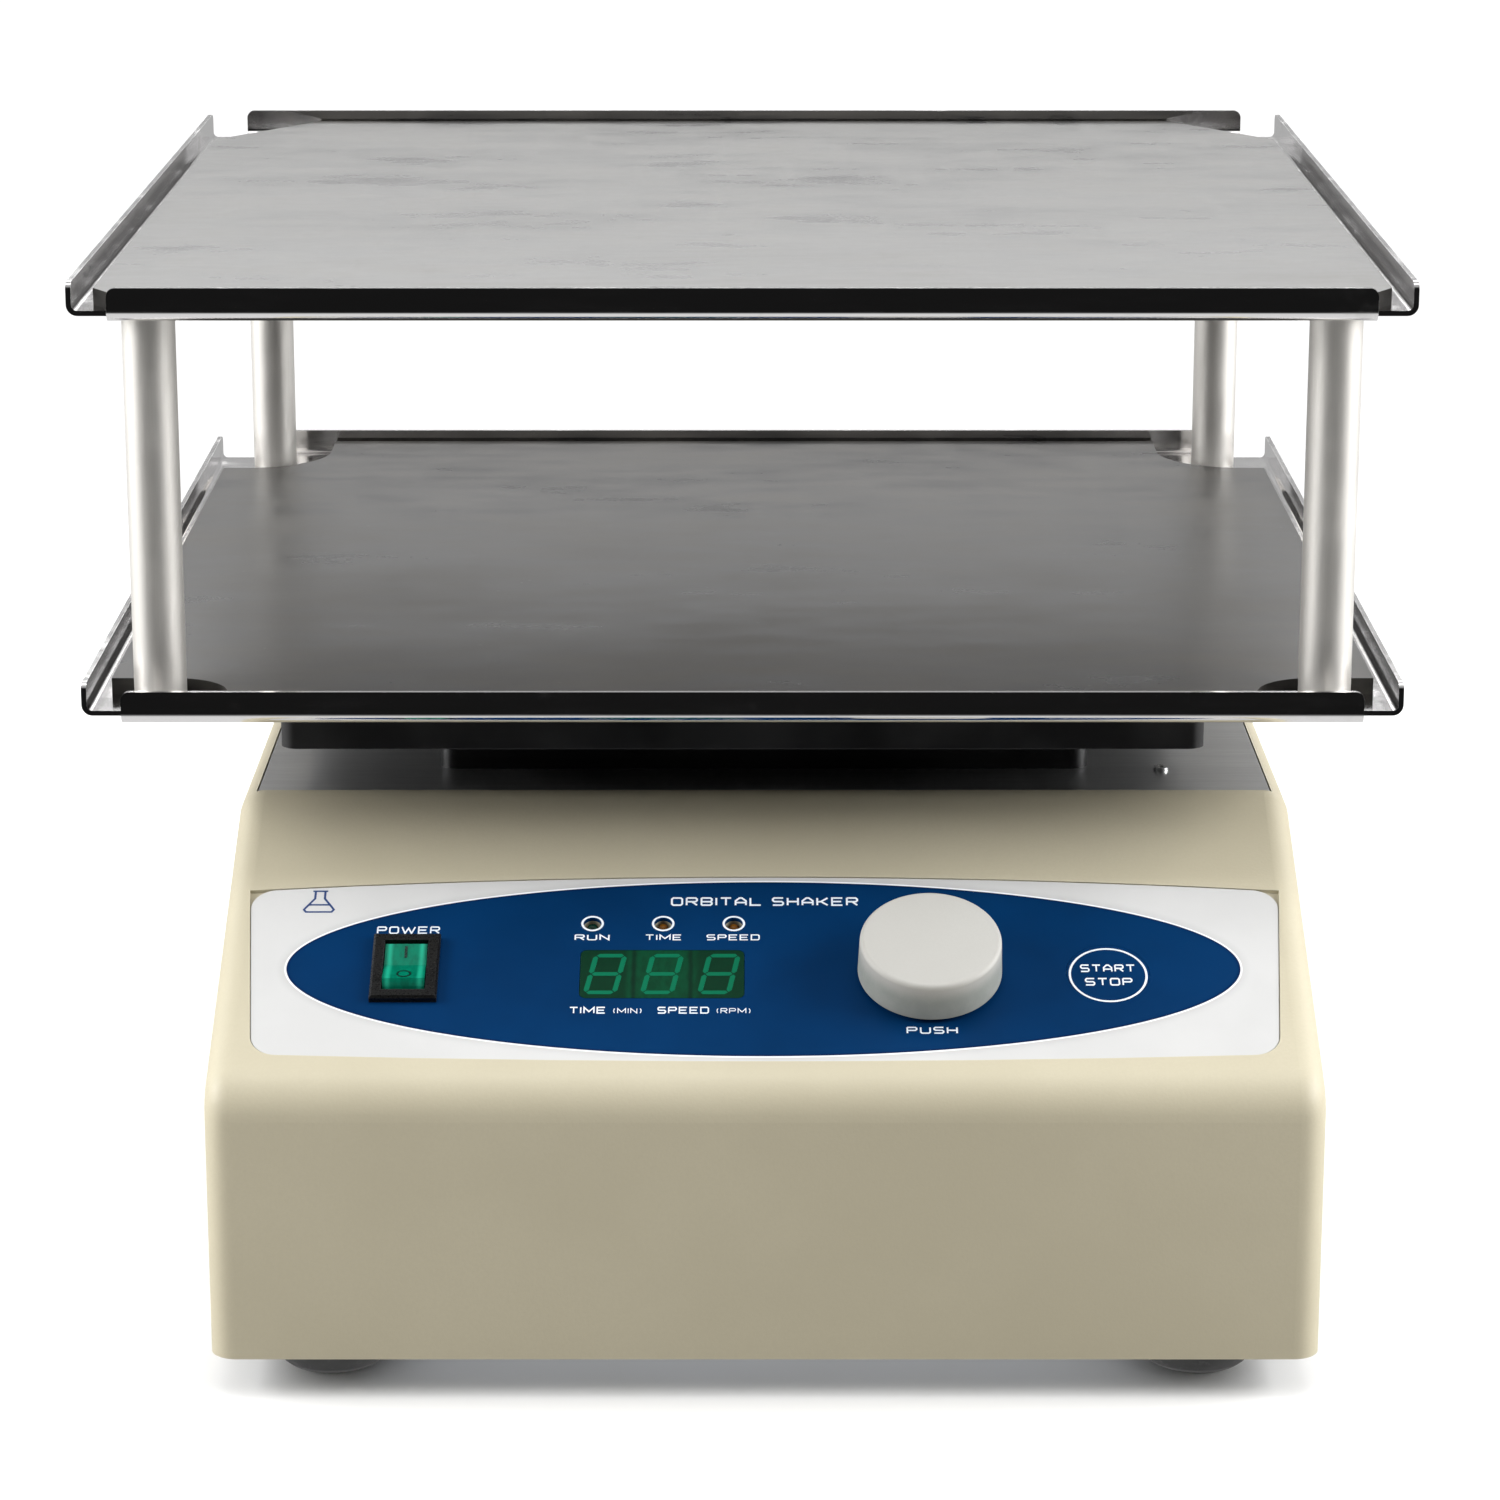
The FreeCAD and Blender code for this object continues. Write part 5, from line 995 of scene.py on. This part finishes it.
@dataclass
class Drive:
    """The motor, belt, crank and bearings that carry the platform round."""

    block: Finish = AnodisedBlack("black_anodised", (0.006, 0.006, 0.007), 0.36)
    casting: Finish = MachinedMetal("cast_aluminium", (0.55, 0.55, 0.55), 0.5, shade=(0.4, 0.4, 0.4),
                                    grain=0.9 * MM, depth=0.05 * MM)
    bearing: Finish = MachinedMetal("bearing_steel", (0.66, 0.66, 0.67), 0.16, shade=(0.55, 0.55, 0.56))
    shaft: Finish = MachinedMetal("shaft_steel", (0.5, 0.5, 0.51), 0.28, shade=(0.4, 0.4, 0.4))
    belt: Finish = Rubber("belt_rubber", (0.01, 0.01, 0.01), 0.55, shade=(0.025, 0.025, 0.025), patch=6 * MM)
    motor: Finish = AnodisedBlack("motor_paint", (0.02, 0.021, 0.023), 0.42, shade=(0.035, 0.036, 0.04))
    winding: Finish = Winding("copper_winding", (0.55, 0.22, 0.1), 0.35)

    def build(self) -> None:
        """Dresses the drive's nodes."""
        dress(self.block, "crank_block", "carriage_plate")
        dress(self.casting, "spindle_housing", "drive_pulley", "motor_pulley")
        dress(self.bearing, "fixed_outer_rings", "drive_inner_rings", "drive_bearing_balls",
              "carriage_outer_rings", "left_idler_inner_rings", "left_idler_balls",
              "right_idler_inner_rings", "right_idler_balls")
        dress(self.shaft, "crank_spindle", "counterweight", "left_idler_crank", "right_idler_crank",
              "motor_rotor", "motor_standoffs", "encoder_shaft")
        dress(self.belt, "drive_belt")
        dress(self.motor, "motor_can")
        dress(self.winding, "motor_stator")


@dataclass
class Platform:
    """The two trays with their mats and posts."""

    tray: Finish = PolishedSheet("tray_steel", (0.72, 0.71, 0.71), 0.09, smudge=(0.5, 0.48, 0.47))
    mat: Finish = Rubber("mat_rubber", (0.022, 0.022, 0.0225), 0.32, specular=0.25,
                         shade=(0.075, 0.071, 0.064), dust=(0.12, 0.115, 0.108), scuff=0.3, ripple=0.5 * MM)
    worn_mat: Finish = Rubber("mat_rubber_worn", (0.022, 0.022, 0.0225), 0.34, specular=0.09,
                              shade=(0.09, 0.085, 0.077), dust=(0.11, 0.107, 0.1),
                              scuff=0.4, ripple=0.5 * MM)
    post: Finish = BrushedMetal("post_aluminium", (0.88, 0.86, 0.82), 0.46, metallic=0.85,
                                shade=(0.74, 0.71, 0.66), run=(1.0, 1.0, 40.0), bands=0.3)

    def build(self) -> None:
        """Dresses the platform's nodes."""
        dress(self.tray, "lower_tray", "upper_tray")
        dress(self.mat, "upper_mat")
        dress(self.worn_mat, "lower_mat")
        dress(self.post, "support_posts")


@dataclass
class Console:
    """The printed face with its switch, lamps, display, knob and key."""

    deck: Deck
    ellipse: Point = (106.6 * MM, 28.5 * MM)
    ellipse_shift: float = -0.3 * MM
    blue: Colour = (0.0008, 0.031, 0.112)
    letters: Lettering = field(default_factory=Lettering)
    bracket_scale: float = 0.8
    ring_width: float = 0.5 * MM
    lamp_pitch: float = 15.95 * MM
    lamp_ring: float = 2.3 * MM
    key_ring: float = 8.55 * MM
    key_line: float = 2.2 * MM
    key_height: float = 2.5 * MM
    digit_pitch: float = 12.7 * MM
    digit_height: float = 12.0 * MM
    digit_width: float = 6.4 * MM
    digit_lean: float = math.tan(math.radians(10.0))
    segment: float = 1.15 * MM
    segment_gap: float = 0.18 * MM
    rocker_bar: Point = (4.0 * MM, 7.6 * MM)
    rocker_ring: Point = (-2.6 * MM, 1.45 * MM)
    rocker_strokes: Point = (0.6 * MM, 0.42 * MM)
    rocker_lift: float = 0.05 * MM
    flask: Point = (-101.0 * MM, 22.0 * MM)
    flask_stroke: float = 0.5 * MM

    def build(self) -> None:
        """Dresses the console and prints its legends."""
        self._dress()
        self._print_legends()
        self._print_lamps()
        self._print_key()
        self._print_digits()
        self._mark_rocker()
        self._print_flask()

    def _dress(self) -> None:
        """Gives the console's nodes their finishes."""
        black = SparkedPlastic("black_plastic", (0.004, 0.004, 0.004), 0.3, specular=0.3,
                               shade=(0.007, 0.007, 0.007), rubbed=(0.1, 0.1, 0.1),
                               spark=0.5 * MM, depth=0.01 * MM)
        # The knob carries painted shade towards its foot.
        knob = FootShadedPlastic("knob_plastic", (0.51, 0.505, 0.475), 0.5, shade=(0.465, 0.455, 0.425),
                              rubbed=(0.75, 0.74, 0.7), spark=0.5 * MM, depth=0.015 * MM,
                              out=tuple(self.deck.out), origin=tuple(self.deck.middle))
        # The lenses carry painted bands: painted highlights on the rocker and the lamps, a darker band on the
        # display filter.
        rocker = TintedLens("green_lens", (0.0, 0.19, 0.11), 0.2, coat=0.3, band_colour=(0.02, 0.48, 0.3),
                            middle=self._centre("power_rocker"))
        window = TintedLens("display_filter", (0.0, 0.052, 0.02), 0.4, specular=0.12,
                            band_colour=(0.0, 0.012, 0.006), middle=self._centre("display_window"),
                            band_at=self.digit_pitch / 2, band_width=1.0 * MM)
        green = TintedLens("lamp_green", (0.001, 0.02, 0.012), 0.25, specular=0.2, band_colour=(0.002, 0.04, 0.018),
                           middle=self._centre("run_lamp"), band_at=0.8 * MM, band_width=0.6 * MM)
        amber = TintedLens("lamp_amber", (0.09, 0.032, 0.002), 0.25, specular=0.2, band_colour=(0.16, 0.06, 0.004),
                           middle=self._centre("setting_lamps"), band_at=8.0 * MM, band_width=1.2 * MM)
        dress(self._film("label_film"), "panel_overlay")
        dress(self._film("key_film"), "start_stop_key")
        dress(black, "switch_body", "display_module", "encoder_body", "encoder_rotor", "key_switch",
              "power_inlet", "fuse_drawer")
        dress(knob, "control_knob")
        dress(rocker, "power_rocker")
        dress(window, "display_window")
        dress(green, "run_lamp")
        dress(amber, "setting_lamps")

    def _film(self, slot: str) -> PrintedFilm:
        """The printed film, with its ellipse in the same place for every node.

        Args:
            slot: The finish's own name.

        Returns:
            The finish.
        """
        middle = tuple(self.deck.middle + self.deck.across * self.ellipse_shift)
        return PrintedFilm(slot, self.blue, 0.42, specular=0.035, middle=middle,
                           across=tuple(self.deck.across), up=tuple(self.deck.up),
                           half_width=self.ellipse[0], half_height=self.ellipse[1])

    def _centre(self, node: str) -> tuple[float, ...]:
        """The middle of a node's box."""
        low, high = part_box(node)
        return tuple((low + high) / 2)

    def _print_legends(self) -> None:
        """Prints the fixed words on the film."""
        switch = self.deck.spot("switch_body")[0]
        window = self.deck.spot("display_window")
        knob = self.deck.spot("control_knob")[0]
        legends = {
            "legend_power": ("POWER", (switch, 12.3), 14.2, 2.5),
            "legend_title": ("ORBITAL SHAKER", (0.0, 21.9), 42.5, 2.9),
            "legend_run": ("RUN", (window[0] - self.lamp_pitch, 9.9), 7.9, 1.95),
            "legend_time": ("TIME", (window[0] + 0.1 * MM, 9.9), 8.2, 1.95),
            "legend_speed": ("SPEED", (window[0] + 15.8 * MM, 9.9), 12.0, 1.95),
            "legend_minutes": ("TIME (MIN)", (window[0] - 12.4 * MM, -13.9), 16.0, 2.2),
            "legend_rate": ("SPEED (RPM)", (window[0] + 9.4 * MM, -13.9), 20.6, 2.2),
            "legend_push": ("PUSH", (knob, -20.3), 11.3, 2.2),
        }
        for name, (text, (across, up), width, height) in legends.items():
            panels = self.letters.panels(text, (across, up * MM), width * MM, height * MM,
                                         self.bracket_scale)
            self.deck.print_on(name, panels, Tone.WHITE, "base", "panel_overlay")

    def _print_lamps(self) -> None:
        """Prints a white ring round each lamp."""
        middle = self.deck.spot("run_lamp")
        for index, name in enumerate(("run", "time", "speed")):
            circle = arc((middle[0] + self.lamp_pitch * index, middle[1]), self.lamp_ring, 0, 360, 32)
            self.deck.print_on(f"lamp_ring_{name}", stroke(circle, self.ring_width), Tone.WHITE, "base",
                               "panel_overlay")

    def _print_key(self) -> None:
        """Prints the ring and the words of the start key."""
        middle = self.deck.spot("start_stop_key")
        circle = arc(middle, self.key_ring, 0, 360, 64)
        self.deck.print_on("key_ring", stroke(circle, self.ring_width), Tone.WHITE, "start_key",
                           "start_stop_key")
        words = {"legend_start": ("START", 1, 12.3 * MM), "legend_stop": ("STOP", -1, 10.6 * MM)}
        for name, (text, side, width) in words.items():
            spot = (middle[0], middle[1] + side * self.key_line)
            panels = self.letters.panels(text, spot, width, self.key_height)
            self.deck.print_on(name, panels, Tone.WHITE, "start_key", "start_stop_key")

    def _print_digits(self) -> None:
        """Draws the unlit segments of three leaning digits."""
        middle = self.deck.spot("display_window")
        half, tall, wide = self.segment / 2, self.digit_height / 2, self.digit_width / 2
        panels = []
        for place in (-1, 0, 1):
            for level in (-tall, 0.0, tall):
                reach = wide - half - self.segment_gap
                bar = [(-reach - half, 0), (-reach, half), (reach, half), (reach + half, 0), (reach, -half),
                       (-reach, -half)]
                panels.append(self._lean(bar, 0.0, level, place, middle))
            for side in (-wide, wide):
                for level in (-tall / 2, tall / 2):
                    reach = tall / 2 - half - self.segment_gap
                    bar = [(0, reach + half), (half, reach), (half, -reach), (0, -reach - half),
                           (-half, -reach), (-half, reach)]
                    panels.append(self._lean(bar, side, level, place, middle))
        self.deck.print_on("display_digits", panels, Tone.DIGIT, "base", "display_window")

    def _lean(self, bar: Sequence[Point], across: float, up: float, place: int,
              middle: Point) -> list[Point]:
        """Places one segment in its leaning digit.

        Args:
            bar: The segment's outline about its own middle.
            across: The segment's place across the upright digit.
            up: Its place up the digit.
            place: Which digit, from -1 to 1.
            middle: The middle of the window.

        Returns:
            The outline on the console's face.
        """
        points = []
        for x, y in bar:
            level = y + up
            points.append((middle[0] + place * self.digit_pitch + x + across + level * self.digit_lean,
                           middle[1] + level))
        return points

    def _mark_rocker(self) -> None:
        """Marks the rocker with a bar above and a ring below."""
        across = self.deck.spot("power_rocker")[0]
        up = self.deck.spot("switch_body")[1]
        foot, head = self.rocker_bar
        steps = 6
        line = [(across, up + foot + (head - foot) * step / steps) for step in range(steps + 1)]
        bar = stroke(line, self.rocker_strokes[0])
        level, radius = self.rocker_ring
        ring = stroke(arc((across, up + level), radius, 0, 360, 40), self.rocker_strokes[1])
        for name, panels in (("rocker_bar", bar), ("rocker_ring", ring)):
            self.deck.print_on(name, panels, Tone.SHADE, "rocker", "power_rocker", self.rocker_lift)

    def _print_flask(self) -> None:
        """Prints a small flask sign on the pale corner of the film."""
        outline = [(-1.1, 3.4), (-1.1, 0.9), (-3.4, -2.8), (-2.9, -3.6), (2.9, -3.6), (3.4, -2.8), (1.1, 0.9),
                   (1.1, 3.4)]
        lines = [outline, [(-1.7, 3.4), (1.7, 3.4)], [(-2.3, -1.2), (2.3, -1.2)]]
        panels = []
        for line in lines:
            points = [(self.flask[0] + x * MM, self.flask[1] + y * MM) for x, y in line]
            panels += stroke(points, self.flask_stroke)
        self.deck.print_on("flask_sign", panels, Tone.NAVY, "base", "panel_overlay")


@dataclass
class Electrics:
    """The boards and contacts inside the casing."""

    board: Finish = CircuitBoard("circuit_board", (0.01, 0.12, 0.045), 0.35)
    contact: Finish = MachinedMetal("contact_brass", (0.72, 0.5, 0.2), 0.25, shade=(0.55, 0.36, 0.14))
    parts: Finish = SparkedPlastic("component_case", (0.03, 0.05, 0.13), 0.35, shade=(0.05, 0.07, 0.15),
                                   rubbed=(0.3, 0.3, 0.34))

    def build(self) -> None:
        """Dresses the boards, blades and parts."""
        dress(self.board, "control_board", "supply_board")
        dress(self.contact, "inlet_pins")
        dress(self.parts, "supply_components")


# ---------------------------------------------------------------- studio


@dataclass
class Panel:
    """One soft light."""

    name: str
    place: tuple[float, float, float]
    target: tuple[float, float, float]
    size: Point
    power: float
    colour: Colour = (1.0, 1.0, 1.0)

    def build(self) -> None:
        """Makes the light and turns it to its target."""
        data = bpy.data.lights.new(self.name, "AREA")
        data.shape = "RECTANGLE"
        data.size, data.size_y = self.size
        data.energy = self.power
        data.color = self.colour
        light = bpy.data.objects.new(self.name, data)
        light.location = self.place
        aim = Vector(self.target) - Vector(self.place)
        light.rotation_euler = aim.to_track_quat("-Z", "Y").to_euler()
        light.visible_camera = False
        bpy.context.scene.collection.objects.link(light)


@dataclass
class Studio:
    """A pale floor in a bright room that is dark behind the viewer, with soft lights."""

    camera_place: tuple[float, float, float] = (1.7 * MM, -1131.0 * MM, 408.0 * MM)
    camera_dip: float = math.radians(15.27)
    lens: float = 111.4
    sensor: float = 36.0
    floor_half: float = 2.4
    floor_drop: float = 0.1 * MM
    floor_tones: tuple[Colour, Colour] = ((0.9, 0.9, 0.895), (0.87, 0.87, 0.865))
    clear_floor: float = 0.3
    white: Colour = (1.0, 1.0, 1.0)
    glare: float = 1.1
    floor_bounce: Colour = (0.5, 0.49, 0.47)
    panels: tuple[Panel, ...] = (
        Panel("top_light", (0.0, -0.12, 1.6), (0.0, -0.1, 0.1), (1.4, 0.45), 7.0),
        Panel("back_light", (0.0, 1.3, 0.95), (0.0, 0.0, 0.2), (2.2, 0.8), 20.0),
        Panel("left_light", (-1.3, -0.2, 0.72), (0.0, -0.05, 0.12), (1.2, 0.7), 23.0),
        Panel("right_light", (1.3, -0.2, 0.72), (0.0, -0.05, 0.12), (1.2, 0.7), 25.0),
    )

    def build(self) -> None:
        """Makes the floor, the room, the lights and the camera."""
        bpy.context.scene.view_settings.view_transform = "Standard"
        self._floor()
        self._room()
        for panel in self.panels:
            panel.build()
        self._camera()

    def _floor(self) -> None:
        """Lays the floor just under the feet."""
        mesh = bmesh.new()
        bmesh.ops.create_grid(mesh, x_segments=1, y_segments=1, size=self.floor_half)
        data = bpy.data.meshes.new("floor")
        mesh.to_mesh(data)
        mesh.free()
        floor = bpy.data.objects.new("floor", data)
        floor.location.z = -self.floor_drop
        floor.visible_glossy = False
        bpy.context.scene.collection.objects.link(floor)
        material = bpy.data.materials.new("floor_paper")
        graph = Graph(material)
        grain = graph.noise(3 * MM, detail=2.0)
        direct = graph.add("ShaderNodeLightPath", output="Is Camera Ray")
        seen = graph.mix(grain * 0.1, *self.floor_tones)
        tone = graph.mix(direct, self.floor_bounce, seen)
        paper = graph.add("ShaderNodeBsdfDiffuse", {}, {"Color": tone})
        glare = graph.add("ShaderNodeEmission", {}, {"Color": self.white, "Strength": self.glare})
        reach = graph.vector("LENGTH", graph.place(), None, "Value")
        far = reach.rise(self.clear_floor, self.clear_floor * 3) * direct
        graph.finish("ShaderNodeOutputMaterial",
                     graph.add("ShaderNodeMixShader", {}, {0: far, 1: paper, 2: glare}))
        data.materials.append(material)

    def _room(self) -> None:
        """Surrounds the floor with white behind and at the sides, and dark low in front."""
        world = bpy.data.worlds.new("room")
        bpy.context.scene.world = world
        graph = Graph(world)
        way = graph.add("ShaderNodeTexCoord", output="Generated")
        x, y, z = (graph.vector("DOT_PRODUCT", way, axis, "Value") for axis in
                   ((1, 0, 0), (0, 1, 0), (0, 0, 1)))
        behind = y.rise(-0.1, 0.35) * 0.46
        beside = abs(x).rise(0.66, 0.94) * (z.rise(0.15, -0.05) * 0.8 + 0.3)
        above = z.rise(0.45, 0.9) * 0.6
        below = z.rise(-0.4, -0.7) * 0.9
        light = behind.larger(beside).larger(above).larger(below) + 0.01
        seen = graph.add("ShaderNodeBackground", {}, {"Color": self.white, "Strength": self.glare})
        lit = graph.add("ShaderNodeBackground", {}, {"Color": self.white, "Strength": light})
        direct = graph.add("ShaderNodeLightPath", output="Is Camera Ray")
        graph.finish("ShaderNodeOutputWorld",
                     graph.add("ShaderNodeMixShader", {}, {0: direct, 1: lit, 2: seen}))

    def _camera(self) -> None:
        """Sets the camera level and square to the front, looking slightly down."""
        data = bpy.data.cameras.new("camera")
        data.lens = self.lens
        data.sensor_width = self.sensor
        camera = bpy.data.objects.new("camera", data)
        camera.location = self.camera_place
        camera.rotation_euler = (math.pi / 2 - self.camera_dip, 0.0, 0.0)
        bpy.context.scene.collection.objects.link(camera)
        bpy.context.scene.camera = camera


def main() -> None:
    """Builds every sub-assembly in order, then the studio."""
    logging.basicConfig(level=logging.INFO, format="%(message)s")
    for assembly in (Casing(), Drive(), Platform(), Console(Deck()), Electrics(), Studio()):
        LOG.info("building %s", type(assembly).__name__)
        assembly.build()


if __name__ == "__main__":
    main()
